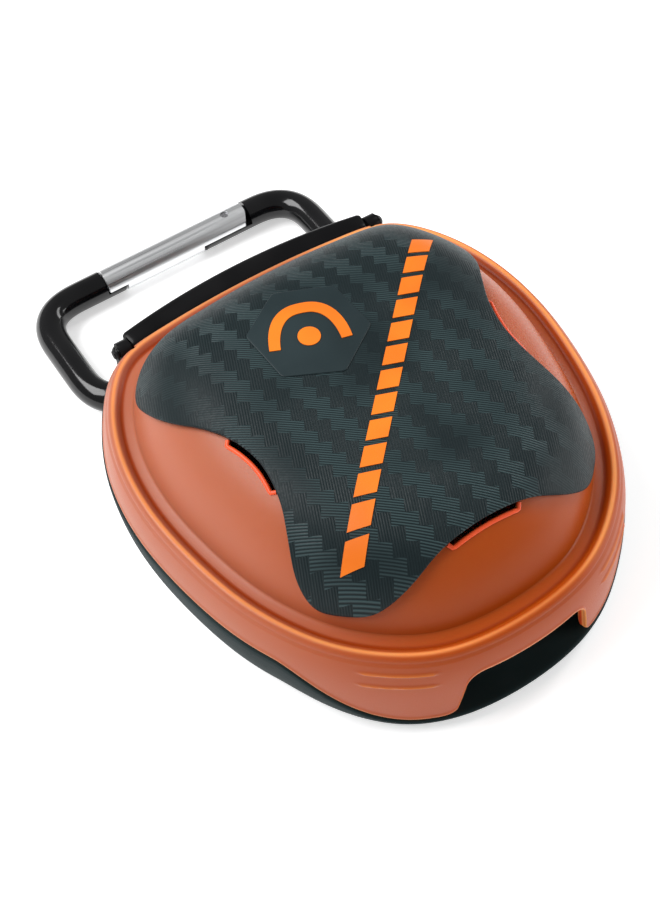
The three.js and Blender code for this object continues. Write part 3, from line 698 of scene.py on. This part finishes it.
class CASE_OT_lid(bpy.types.Operator):
    """Builds the lid's shell: dome, groove, shoulder and skirt, with the notch and the vents"""
    bl_idname = "case.lid"
    bl_label = "Lid shell"

    def execute(self, context):
        settings = context.scene.case_settings
        grid, painted_light_and_shade = lid_grid(settings.grip_rise / MM)
        poles = (*DOME_CENTRE, CROWN_Z), (*DOME_CENTRE, CROWN_Z - LID_WALL)
        # The "rim" attribute carries the lid's painted highlights, painted shade and painted glow.
        lid = shell("lid_case_shell", grid, *poles, rim=painted_light_and_shade)
        cutters = [prism("vent", plan, GROOVE_Z, CROWN_Z + 5) for plan in vent_slots()]
        room_half = EAR_OUT + 0.3
        across = np.linspace(-room_half, room_half, 40)
        inner_y, outer_y = bar_sides(across)
        inner, outer = np.stack([across, inner_y - 0.3], 1), np.stack([across, outer_y + 1.5], 1)
        cutters.append(prism("bar_room", np.vstack([inner, outer[::-1]]), 10, 23.5))
        for side in (-1, 1):
            ends = sorted((side * BAR_HALF, side * room_half))
            cutters.append(block("ear_room", (ends[0], 40.2, 10), (ends[1], 50, 23.5)))
        carve(lid, cutters)
        lip = rounded(block("lid_case_lip", (-18, 35.7, 14), (18, 36.9, 20)), 0.4)
        material = lid_material(settings)
        finished(crisp(lid, 40), "lid", "lid_plastic", material, "lid_shell")
        finished(crisp(lip), "lid", "lid_plastic", material)
        # The vents' lips take the cut edges' painted glow: a vivid orange for light through the plastic's
        # thickness.
        cut = moulded("lid_cut_glow_orange", tuple(settings.lid_cut_glow), 0.35, Specular_IOR_Level=0.3)
        for bead in vent_lips():
            finished(crisp(bead, 50), "lid", "lid_plastic", cut)
        return {"FINISHED"}


# ---- Badge ------------------------------------------------------------------

def plate_on_dome(name, outline, low, high, rounding, rings=34, centre=None):
    """A plate that follows the dome: its rings shrink from the outline to a centre, its upper edge
    is rounded, and its lower face lies at the low lift."""
    centre = np.mean(outline, 0) if centre is None else np.array(centre)
    n = len(outline)
    radius = np.hypot(*(outline - centre).T)
    rows = []
    shares = np.linspace(0.02, 1, rings) ** 0.8
    for share in shares[:-1]:
        plan = centre + (outline - centre) * (share * (1 - rounding / radius))[:, None]
        rows.append(on_dome(*plan.T, high))
    for turn in np.linspace(0, math.pi / 2, 6):
        inward = rounding * (1 - math.sin(turn)) / radius
        plan = centre + (outline - centre) * (1 - inward)[:, None]
        rows.append(on_dome(*plan.T, high - rounding * (1 - math.cos(turn))))
    rows.append(on_dome(*outline.T, low))
    for share in shares[::-1][1::4]:
        plan = centre + (outline - centre) * share
        rows.append(on_dome(*plan.T, low))
    poles = [on_dome(np.array([centre[0]]), np.array([centre[1]]), lift)[0] for lift in (high, low)]
    return shell(name, np.array(rows), *poles)


def rounded_polygon(corners, radius, per_side=24):
    """A polygon whose corners are replaced by quadratic curves that start a radius away."""
    corners = np.asarray(corners, float)
    before = np.roll(corners, 1, 0) - corners
    after = np.roll(corners, -1, 0) - corners
    before /= np.hypot(*before.T)[:, None]
    after /= np.hypot(*after.T)[:, None]
    t = np.linspace(0, 1, 7)[None, :, None]
    a, b, c = (corners + before * radius)[:, None], corners[:, None], (corners + after * radius)[:, None]
    arcs = (1 - t) ** 2 * a + 2 * t * (1 - t) * b + t ** 2 * c
    loop = arcs.reshape(-1, 2)
    loop = np.vstack([loop, loop[:1]])
    length = np.concatenate([[0], np.cumsum(np.hypot(*np.diff(loop, axis=0).T))])
    at = np.linspace(0, length[-1], len(corners) * per_side + 1)[:-1]
    return np.stack([np.interp(at, length, loop[:, k]) for k in (0, 1)], 1)


PAD_CENTRE = np.array([-3.9, 15.6])
PAD_TURN = math.radians(33)


class CASE_OT_badge(bpy.types.Operator):
    """Builds the badge: the woven plate, the smooth six-sided pad on it, and their generic marks"""
    bl_idname = "case.badge"
    bl_label = "Badge"

    def execute(self, context):
        settings = context.scene.case_settings
        outline, _ = outline_at(BADGE, np.arange(640) / 640)
        plate = plate_on_dome("badge_plate", outline, 0.3, 1.3, 0.3, 60, DOME_CENTRE)
        finished(crisp(plate, 50), "lid", "badge_plastic", badge_material(settings), "lid_badge")
        corners = PAD_CENTRE + circle(10.3, 6) @ np.array(
            [[math.cos(PAD_TURN), math.sin(PAD_TURN)], [-math.sin(PAD_TURN), math.cos(PAD_TURN)]])
        pad = plate_on_dome("badge_pad", rounded_polygon(corners, 0.6, 30), 1.2, 1.5, 0.18, 24)
        pad_material = moulded("pad_slate", tuple(c * 1.5 for c in settings.badge_colour), 0.45,
                               Specular_IOR_Level=0.25)
        finished(crisp(pad, 50), "lid", "badge_plastic", pad_material)
        marks = moulded("mark_orange", tuple(settings.mark_colour), 0.42, scuff=0.1)
        finished(crisp(self.icon(), 50), "lid", "lid_plastic", marks)
        finished(crisp(self.bars(), 50), "lid", "lid_plastic", marks)
        return {"FINISHED"}

    def icon(self):
        """A mouthguard seen from above: a horseshoe band, with a round dot inside it."""
        half, depth, band, dot = 6.0, 9.2, 2.1, 1.9
        turned = np.linspace(-1.0, 1.0, 41) * math.radians(82)
        path = np.stack([half * np.sign(turned) * np.abs(np.sin(turned)) ** 0.8,
                         depth * np.cos(turned) ** 0.9 - depth * 0.55], 1)
        along = np.gradient(path, axis=0)
        along /= np.hypot(*along.T)[:, None]
        side = np.stack([along[:, 1], -along[:, 0]], 1)
        width = band * (0.85 + 0.15 * np.cos(turned)) / 2
        across = np.linspace(-0.99, 0.99, 25) * dot
        chord = np.sqrt(dot ** 2 - across ** 2)
        parts = [np.stack([path - side * width[:, None], path + side * width[:, None]], 1),
                 np.stack([np.stack([across, chord - 1.9], 1), np.stack([across, -chord - 1.9], 1)], 1)]
        turn = math.radians(-20)
        spin = np.array([[math.cos(turn), math.sin(turn)], [-math.sin(turn), math.cos(turn)]])
        return raised("badge_icon", [band @ spin + PAD_CENTRE + (0.0, 0.6) for band in parts], 1.45, 1.65)

    def bars(self):
        """A diagonal row of slanted bars, across the badge from one lobe to the other."""
        start, end = np.array([-20.6, -22.6]), np.array([23.7, 23.0])
        along = (end - start) / np.hypot(*(end - start))
        side = np.array([along[1], -along[0]])
        count, half, gap, lean = 13, 1.65, 0.55, 0.7
        pitch = np.hypot(*(end - start)) / count
        bars = []
        for i in range(count):
            t = np.linspace(i * pitch + gap, (i + 1) * pitch - gap, 9)[:, None]
            bars.append(np.stack([start + along * (t - lean) - side * half,
                                  start + along * (t + lean) + side * half], 1))
        return raised("badge_bars", bars, 1.25, 1.45)


def raised(name, bands, low, high):
    """Thin raised bands on the dome. Each band comes as pairs of left and right plan points, and
    becomes a closed slab between two lifts above the dome."""
    points, faces = [], []
    offset = 0
    for band in bands:
        across = np.linspace(0, 1, 7)[None, :, None]
        plan = band[:, :1] * (1 - across) + band[:, 1:] * across
        n, m = plan.shape[:2]
        flat = plan.reshape(-1, 2)
        top, bottom = on_dome(*flat.T, high), on_dome(*flat.T, low)
        area = np.cross(plan[0, -1] - plan[0, 0], plan[1, 0] - plan[0, 0])
        quads = grid_faces(n, m, wrap_columns=False)
        index = np.arange(n * m).reshape(n, m)
        border = np.concatenate([index[0, :-1], index[:-1, -1], index[-1, :0:-1], index[:0:-1, 0]])
        walls = np.stack([border, np.roll(border, -1), np.roll(border, -1) + n * m, border + n * m], 1)
        upper, lower = quads, quads[:, ::-1] + n * m
        slab = np.vstack([upper, lower, walls[:, ::-1]])
        if area > 0:
            slab = slab[:, ::-1]
        points += [top, bottom]
        faces += (slab + offset).tolist()
        offset += 2 * n * m
    return put(name, np.vstack(points), faces)


# ---- Base -------------------------------------------------------------------

class CASE_OT_base(bpy.types.Operator):
    """Builds the base: the bowl, its ledge under the skirt, the inner wall and the thumb scoop"""
    bl_idname = "case.base"
    bl_label = "Base shell"

    def execute(self, context):
        settings = context.scene.case_settings
        base = shell("base_bowl", self.grid(), (*DOME_CENTRE, 0.0), (*DOME_CENTRE, FLOOR_Z))
        recess = block("recess", (-45, HINGE_FACE_Y - 2, -1), (45, 60, 9.2))
        room_half, swing_half = EAR_OUT + 1.5, BAR_HALF + 0.3
        hinge_room = block("hinge_room", (-room_half, HINGE_FACE_Y, -0.5), (room_half, 61, 30))
        swing = rod("swing", (-swing_half, PIN_Y, PIN_Z), (swing_half, PIN_Y, PIN_Z), SWING_R, 64, 0.01)
        carve(base, [recess, hinge_room, swing])
        material = moulded("base_slate", tuple(settings.slate_colour), 0.62, Specular_IOR_Level=0.12)
        finished(crisp(base, 38), "base", "slate_plastic", material, "base_shell")
        return {"FINISHED"}

    def grid(self):
        """Rings of the base. The bowl rises from the foot to the ledge by the offset's
        superellipse, the wall stands inside the skirt and turns over its rounded rim to the floor, and
        the scoop draws the front wall in."""
        points, out = outline_at(SHOULDER, np.arange(480) / 480)
        x, y = points.T
        ledge = np.maximum(skirt_edge(y) - 0.3, 3.2)
        top = flare(ledge) + 0.35
        rows = []

        def ring(offset, z, drawn=0.0, depth=SCOOP_Y):
            offset, z = np.broadcast_to(offset, x.shape), np.broadcast_to(z, x.shape)
            plan = points + out * offset[:, None]
            front = (y < -25) * smooth((14.2 - np.abs(x)) / 1.6)
            pull = np.clip(depth - plan[:, 1], 0, None) * front * drawn
            plan = plan + np.stack([np.zeros_like(x), pull], 1)
            rows.append(np.column_stack([plan, z]))

        def floor_ring(share, inset, z):
            plan = np.array(DOME_CENTRE) + share * (points - out * inset - DOME_CENTRE)
            rows.append(np.column_stack([plan, np.full(len(x), z)]))

        for share in (0.12, 0.4, 0.7, 0.95):
            floor_ring(share, 8.0, 0.0)
        for offset in (-4.6, -4.0):
            ring(offset, 0.0)
        for share in np.linspace(0.03, 1, 30) ** 1.3:
            rise = (1 - (1 - share) ** 2.2) ** (1 / 2.2)
            ring(-4.0 + (top + 4.0) * rise - 0.12 * (share > 0.985), ledge * share)
        for inward, lift in ((0.25, 0.1), (0.6, 0.15), (1.2, 0.15)):
            ring(top - inward, ledge + lift, 0.0)
        ring(-1.5, ledge + 0.15, 0.1)
        for share in np.linspace(0, 1, 22) ** 1.3:
            ring(-1.9, ledge + 0.3 + (RIM_Z - 0.3 - ledge) * share, min(1, share * 6 + 0.25))
        ring(-2.2, RIM_Z, 1.0, SCOOP_Y + 0.3)
        ring(-3.7, RIM_Z, 1.0, SCOOP_Y + SCOOP_WALL - 0.3)
        inner_wall = [(4.0, RIM_Z - 0.3), (4.1, 16), (4.3, 14), (5.2, 12), (6.8, 9), (7.4, 7), (8.1, 5),
                      (9.2, 3.4), (10.9, FLOOR_Z)]
        for inward, z in inner_wall:
            ring(-inward, z, 1.0, SCOOP_Y + SCOOP_WALL)
        for share in (0.95, 0.7, 0.4, 0.12):
            floor_ring(share, inner_wall[-1][0], FLOOR_Z)
        return np.array(rows)


# ---- Hinge ------------------------------------------------------------------

class CASE_OT_hinge(bpy.types.Operator):
    """Builds the hinge: the bowed bar, the two ears on their bracket, and the pins' round heads"""
    bl_idname = "case.hinge"
    bl_label = "Hinge"

    def execute(self, context):
        black = moulded("hinge_black", tuple(context.scene.clip_settings.black_colour), 0.3, grain=7000,
                        depth=0.00002, scuff=0.2, Specular_IOR_Level=0.15)
        finished(crisp(self.bar(), 50), "lid", "black_plastic", black, "hinge_bar")
        bracket = softened("hinge_bracket_body", "hinge_bracket", 0.28)
        finished(bracket, "base", "black_plastic", black, "hinge_bracket")
        for side, name in ((-1, "left"), (1, "right")):
            inner, outer = (side * 22.8, PIN_Y, PIN_Z), (side * 28.5, PIN_Y, PIN_Z)
            pin = rod(f"pin_{name}", inner, outer, 0.9, 32, 0.15)
            head = self.head(f"pin_head_{name}", side)
            finished(crisp(pin, 50), "base", "black_plastic", black, f"hinge_pin_{name}")
            finished(crisp(head, 50), "base", "black_plastic", black)
        return {"FINISHED"}

    def bar(self):
        """A rounded rectangle carried between the bowed sides, with rounded ends."""
        ends = np.array([BAR_HALF - 0.15, BAR_HALF])
        x = np.concatenate([-ends[::-1], np.linspace(0.5 - BAR_HALF, BAR_HALF - 0.5, 70), ends])
        inner, outer = bar_sides(x)
        path = np.stack([x, (inner + outer) / 2, np.full_like(x, PIN_Z)], 1)
        a = np.arange(40) / 40 * TAU
        power = 0.55
        unit = np.stack([np.sign(np.cos(a)) * np.abs(np.cos(a)) ** power,
                         np.sign(np.sin(a)) * np.abs(np.sin(a)) ** power], 1)
        end = np.clip((BAR_HALF + 0.05 - np.abs(x)) / 0.5, 0.15, 1) ** 0.5
        half_wide = (outer - inner) / 2 - 0.3 * (1 - end)
        half_high = 1.7 - 0.3 * (1 - end)
        section = unit[None] * np.stack([half_wide, half_high], 1)[:, None]
        return swept("hinge_bar_body", path, (0, 0, 1), section)

    def head(self, name, side):
        """A low dome on the ear: the radius falls by a quarter circle over its height."""
        turn = np.linspace(0, math.pi / 2, 8)
        radius = np.concatenate([[1.0], 1.3 * np.cos(turn * 0.92)])
        out = np.concatenate([[27.72], 27.75 + 0.72 * np.sin(turn * 0.92)])
        path = np.stack([side * out, np.full_like(out, PIN_Y), np.full_like(out, PIN_Z)], 1)
        section = np.stack([circle(r, 32) for r in radius])
        return swept(name, path, (0, 0, 1), section)


def softened(name, node, width):
    """A copy of a CAD node with its corners merged and its edges rounded by a bevel."""
    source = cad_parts[node]
    mesh = source.data.copy()
    piece = bpy.data.objects.new(name, mesh)
    bpy.context.collection.objects.link(piece)
    mesh.materials.clear()
    weld = piece.modifiers.new("weld", "WELD")
    weld.merge_threshold = 0.00001
    baked(piece)
    flat = piece.modifiers.new("flat", "DECIMATE")
    flat.decimate_type = "DISSOLVE"
    flat.angle_limit = math.radians(1)
    return crisp(rounded(piece, width), 40)


# ---- Carabiner --------------------------------------------------------------

def clip_path():
    """The rod's centre line: straight runs joined by quadratic corners, sampled evenly, then eased
    by a short running mean so that no bend starts suddenly."""
    half, gate, spine = 28.8, 8.6, 9.0
    runs = [
        ((GATE_LEFT - 0.3, REACH), (-half + gate, REACH)),
        ((-half + gate, REACH), (-half, REACH), (-half, REACH - gate)),
        ((-half, REACH - gate), (-half, spine)),
        ((-half, spine), (-half, 0), (-half + spine, 0)),
        ((-half + spine, 0), (half - spine, 0)),
        ((half - spine, 0), (half, 0), (half, spine)),
        ((half, spine), (half, REACH - gate)),
        ((half, REACH - gate), (half, REACH), (half - gate, REACH)),
        ((half - gate, REACH), (GATE_RIGHT + 0.4, REACH)),
    ]
    pieces = []
    for run in runs:
        t = np.linspace(0, 1, 60)[:, None]
        p = [np.array(q, float) for q in run]
        line = p[0] * (1 - t) + p[-1] * t
        bend = (1 - t) ** 2 * p[0] + 2 * t * (1 - t) * p[len(p) // 2] + t ** 2 * p[-1]
        pieces.append(line if len(p) == 2 else bend)
    path = np.vstack(pieces)
    length = np.concatenate([[0], np.cumsum(np.hypot(*np.diff(path, axis=0).T))])
    at = np.linspace(0, length[-1], 421)
    even = np.stack([np.interp(at, length, path[:, k]) for k in (0, 1)], 1)
    reach_out = 5
    padded = np.vstack([np.repeat(even[:1], reach_out, 0), even, np.repeat(even[-1:], reach_out, 0)])
    window = np.ones(2 * reach_out + 1) / (2 * reach_out + 1)
    eased = np.stack([np.convolve(padded[:, k], window, "valid") for k in (0, 1)], 1)
    eased[:2], eased[-2:] = even[:2], even[-2:]
    return np.column_stack([eased, np.zeros(len(eased))])


def in_clip(piece):
    """Moves a piece built in the carabiner's plane to its place, in its mesh."""
    turn = Matrix.Translation([c * MM for c in CLIP_AT]) @ Matrix.Rotation(CLIP_TILT, 4, "X")
    piece.data.transform(turn)
    return piece


class CASE_OT_carabiner(bpy.types.Operator):
    """Builds the carabiner: the bent rod with its two half laps, and the gate that closes on them"""
    bl_idname = "case.carabiner"
    bl_label = "Carabiner"

    def execute(self, context):
        settings = context.scene.clip_settings
        enamel = moulded("clip_enamel", tuple(settings.enamel_colour), 0.14, 900, 0.00002, scuff=0.15,
                         Specular_IOR_Level=0.3, Coat_Weight=0.25, Coat_Roughness=0.05)
        metal = brushed("gate_aluminium", tuple(settings.gate_colour), 0.34)
        steel = brushed("small_steel", (0.5, 0.5, 0.52), 0.3, "z")
        finished(in_clip(self.frame_rod()), "carabiner", "black_enamel", enamel, "carabiner_frame")
        finished(in_clip(self.gate()), "gate", "polished_aluminium", metal, "carabiner_gate")
        for node in ("gate_pivot_pin", "gate_spring", "gate_plunger"):
            restyle(node, steel)
        return {"FINISHED"}

    def frame_rod(self):
        """The bent rod, with a lower half-rod tongue under each end of the gate and the pivot's bore."""
        body = swept("clip_frame", clip_path(), (0, 0, 1), circle(ROD_R, 40))
        left = along_gate("tongue", GATE_LEFT - 1.2, LAP_LEFT - 0.3, ROD_R, 40)
        right = along_gate("tongue", LAP_RIGHT + 0.3, GATE_RIGHT + 0.9, ROD_R, 40)
        for tongue in (left, right):
            lower = block("lower", (-60, REACH - 8, -6), (60, REACH + 8, -LAP_HALF_GAP))
            carve(tongue, [lower], "INTERSECT")
        carve(right, [self.round_end(PIVOT_X - LAP_RIGHT - 0.3, 60)], "INTERSECT")
        carve(body, [left, right], "UNION")
        carve(body, [through_gate("bore", 0.8, 5)])
        return crisp(body, 40)

    def gate(self):
        """A rod with an upper half-lap at each end, bored for the spring, and rounded about its pivot."""
        body = along_gate("clip_gate", GATE_LEFT, GATE_RIGHT, ROD_R, 64, 0.2)
        rooms = [
            block("lap", (GATE_LEFT - 1.8, REACH - 8, -6), (LAP_LEFT, REACH + 8, LAP_HALF_GAP)),
            block("lap", (LAP_RIGHT, REACH - 8, -6), (GATE_RIGHT + 2.1, REACH + 8, LAP_HALF_GAP)),
            rod("bore", (LAP_RIGHT - 13, REACH, -0.4), (LAP_RIGHT + 0.5, REACH, -0.4), 1.7, 32, 0.01),
            through_gate("bore", 0.84, 5),
        ]
        carve(body, rooms)
        carve(body, [self.round_end(4.2, -60)], "INTERSECT")
        return crisp(body, 40)

    def round_end(self, radius, far):
        """A cutter that rounds an end about the gate's pivot and keeps everything on one side of it."""
        disc = through_gate("round", radius, 7, 96)
        low, high = sorted((PIVOT_X, far))
        return carve(disc, [block("side", (low, REACH - 8, -6.5), (high, REACH + 8, 6.5))], "UNION")


def along_gate(name, left, right, radius, count, chamfer=0.25):
    """A rod along the gate's line."""
    return rod(name, (left, REACH, 0), (right, REACH, 0), radius, count, chamfer)


def through_gate(name, radius, half, count=32):
    """A cutter on the pivot's axis."""
    return rod(name, (PIVOT_X, REACH, -half), (PIVOT_X, REACH, half), radius, count, 0.01)


def restyle(node, material):
    """A better material on a CAD node that stays."""
    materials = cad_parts[node].data.materials
    if not materials:
        materials.append(material)
    for i in range(len(materials)):
        materials[i] = material


# ---- Mouthguard -------------------------------------------------------------

class CASE_OT_mouthguard(bpy.types.Operator):
    """Builds the mouthguard: the firm tray, the soft liner and the two bite pads, with rounded edges"""
    bl_idname = "case.mouthguard"
    bl_label = "Mouthguard"

    def execute(self, context):
        firm = rubber("tray_black", (0.012, 0.013, 0.015), 0.42)
        gel = rubber("gel_orange", (0.8, 0.2, 0.04), 0.32, 0.3)
        pieces = [("guard_tray", "mouthguard_tray", 0.55, firm, "tray_rubber"),
                  ("guard_liner", "mouthguard_liner", 0.25, gel, "gel_rubber"),
                  ("guard_pad_left", "mouthguard_bite_pad_left", 0.4, gel, "gel_rubber"),
                  ("guard_pad_right", "mouthguard_bite_pad_right", 0.4, gel, "gel_rubber")]
        for name, node, rounding, material, slot in pieces:
            finished(softened(name, node, rounding), "mouthguard", slot, material, node)
        return {"FINISHED"}


# ---- Stage ------------------------------------------------------------------

def lamp(name, place, target, size, power):
    """A rectangular soft light that faces a target."""
    light = bpy.data.lights.new(name, "AREA")
    light.shape = "RECTANGLE"
    light.size, light.size_y = size
    light.energy = power
    holder = bpy.data.objects.new(name, light)
    bpy.context.collection.objects.link(holder)
    holder.location = place
    holder.rotation_euler = (Vector(target) - Vector(place)).to_track_quat("-Z", "Y").to_euler()


class CASE_OT_stage(bpy.types.Operator):
    """Sets up the pale floor, the soft lights and the camera"""
    bl_idname = "case.stage"
    bl_label = "Stage"

    def execute(self, context):
        floor_z = float(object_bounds()[0][2]) - 0.0002
        reach = 1.5
        side = np.linspace(-reach, reach, 9)
        gx, gy = np.meshgrid(side, side)
        points = np.stack([gx, gy, np.full_like(gx, floor_z)], -1).reshape(-1, 3) / MM
        floor = put("floor", points, grid_faces(9, 9, wrap_columns=False)[:, ::-1].tolist())
        paper = Finish("floor_paper")
        grain = paper.bump(paper.noise(900), 0.0001, 0.05)
        floor.data.materials.append(paper.done((0.9, 0.9, 0.9), 0.6, grain,
                                               Emission_Color=(1, 1, 1, 1), Emission_Strength=0.5))
        floor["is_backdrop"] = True
        world = bpy.data.worlds.new("studio")
        world.use_nodes = True
        world.node_tree.nodes["Background"].inputs[0].default_value = (1, 1, 1, 1)
        world.node_tree.nodes["Background"].inputs[1].default_value = 0.3
        context.scene.world = world
        lamp("key", (-0.35, 0.25, 0.55), (0, 0, 0.02), (0.5, 0.35), 5.0)
        lamp("fill", (0.5, -0.3, 0.2), (0, 0, 0.02), (0.3, 0.25), 1.1)
        lamp("side_strip", (0.5, 0.12, 0.32), (0, 0, 0.02), (0.12, 0.5), 1.2)
        self.camera(context)
        context.scene.view_settings.view_transform = "Standard"
        return {"FINISHED"}

    def camera(self, context):
        azimuth, elevation, roll = (math.radians(d) for d in (-30.95, 56.59, -2.49))
        distance, target = 0.264, Vector((-0.00447, 0.00957, 0.010))
        back = Vector((math.sin(azimuth) * math.cos(elevation), -math.cos(azimuth) * math.cos(elevation),
                       math.sin(elevation)))
        right = Vector((math.cos(azimuth), math.sin(azimuth), 0))
        up = back.cross(right)
        c, s = math.cos(roll), math.sin(roll)
        right, up = right * c + up * s, up * c - right * s
        turn = Matrix((right, up, back)).transposed().to_4x4()
        data = bpy.data.cameras.new("camera")
        data.lens = 60.0
        data.sensor_width = 36.0
        data.sensor_fit = "AUTO"
        data.clip_start = 0.01
        camera = bpy.data.objects.new("camera", data)
        context.collection.objects.link(camera)
        camera.matrix_world = Matrix.Translation(target + back * distance) @ turn
        context.scene.camera = camera


# ---- Panel and running ------------------------------------------------------

BUILDERS = (CASE_OT_base, CASE_OT_lid, CASE_OT_badge, CASE_OT_hinge, CASE_OT_carabiner, CASE_OT_mouthguard,
            CASE_OT_stage)


class CASE_PT_panel(bpy.types.Panel):
    """Lists the case's settings and builders"""
    bl_idname = "CASE_PT_panel"
    bl_label = "Mouthguard case"
    bl_space_type = "VIEW_3D"
    bl_region_type = "UI"
    bl_category = "Case"

    def draw(self, context):
        column = self.layout.column()
        for group in (context.scene.case_settings, context.scene.clip_settings):
            for name in group.__annotations__:
                column.prop(group, name)
        for builder in BUILDERS:
            column.operator(builder.bl_idname)


CLASSES = (CaseSettings, ClipSettings) + BUILDERS + (CASE_PT_panel,)


def register():
    for cls in CLASSES:
        bpy.utils.register_class(cls)
    bpy.types.Scene.case_settings = bpy.props.PointerProperty(type=CaseSettings)
    bpy.types.Scene.clip_settings = bpy.props.PointerProperty(type=ClipSettings)


def unregister():
    del bpy.types.Scene.clip_settings
    del bpy.types.Scene.case_settings
    for cls in reversed(CLASSES):
        bpy.utils.unregister_class(cls)


def main():
    register()
    for build in (bpy.ops.case.base, bpy.ops.case.lid, bpy.ops.case.badge, bpy.ops.case.hinge,
                  bpy.ops.case.carabiner, bpy.ops.case.mouthguard, bpy.ops.case.stage):
        build()
    bpy.context.view_layer.update()


if __name__ == "__main__":
    main()
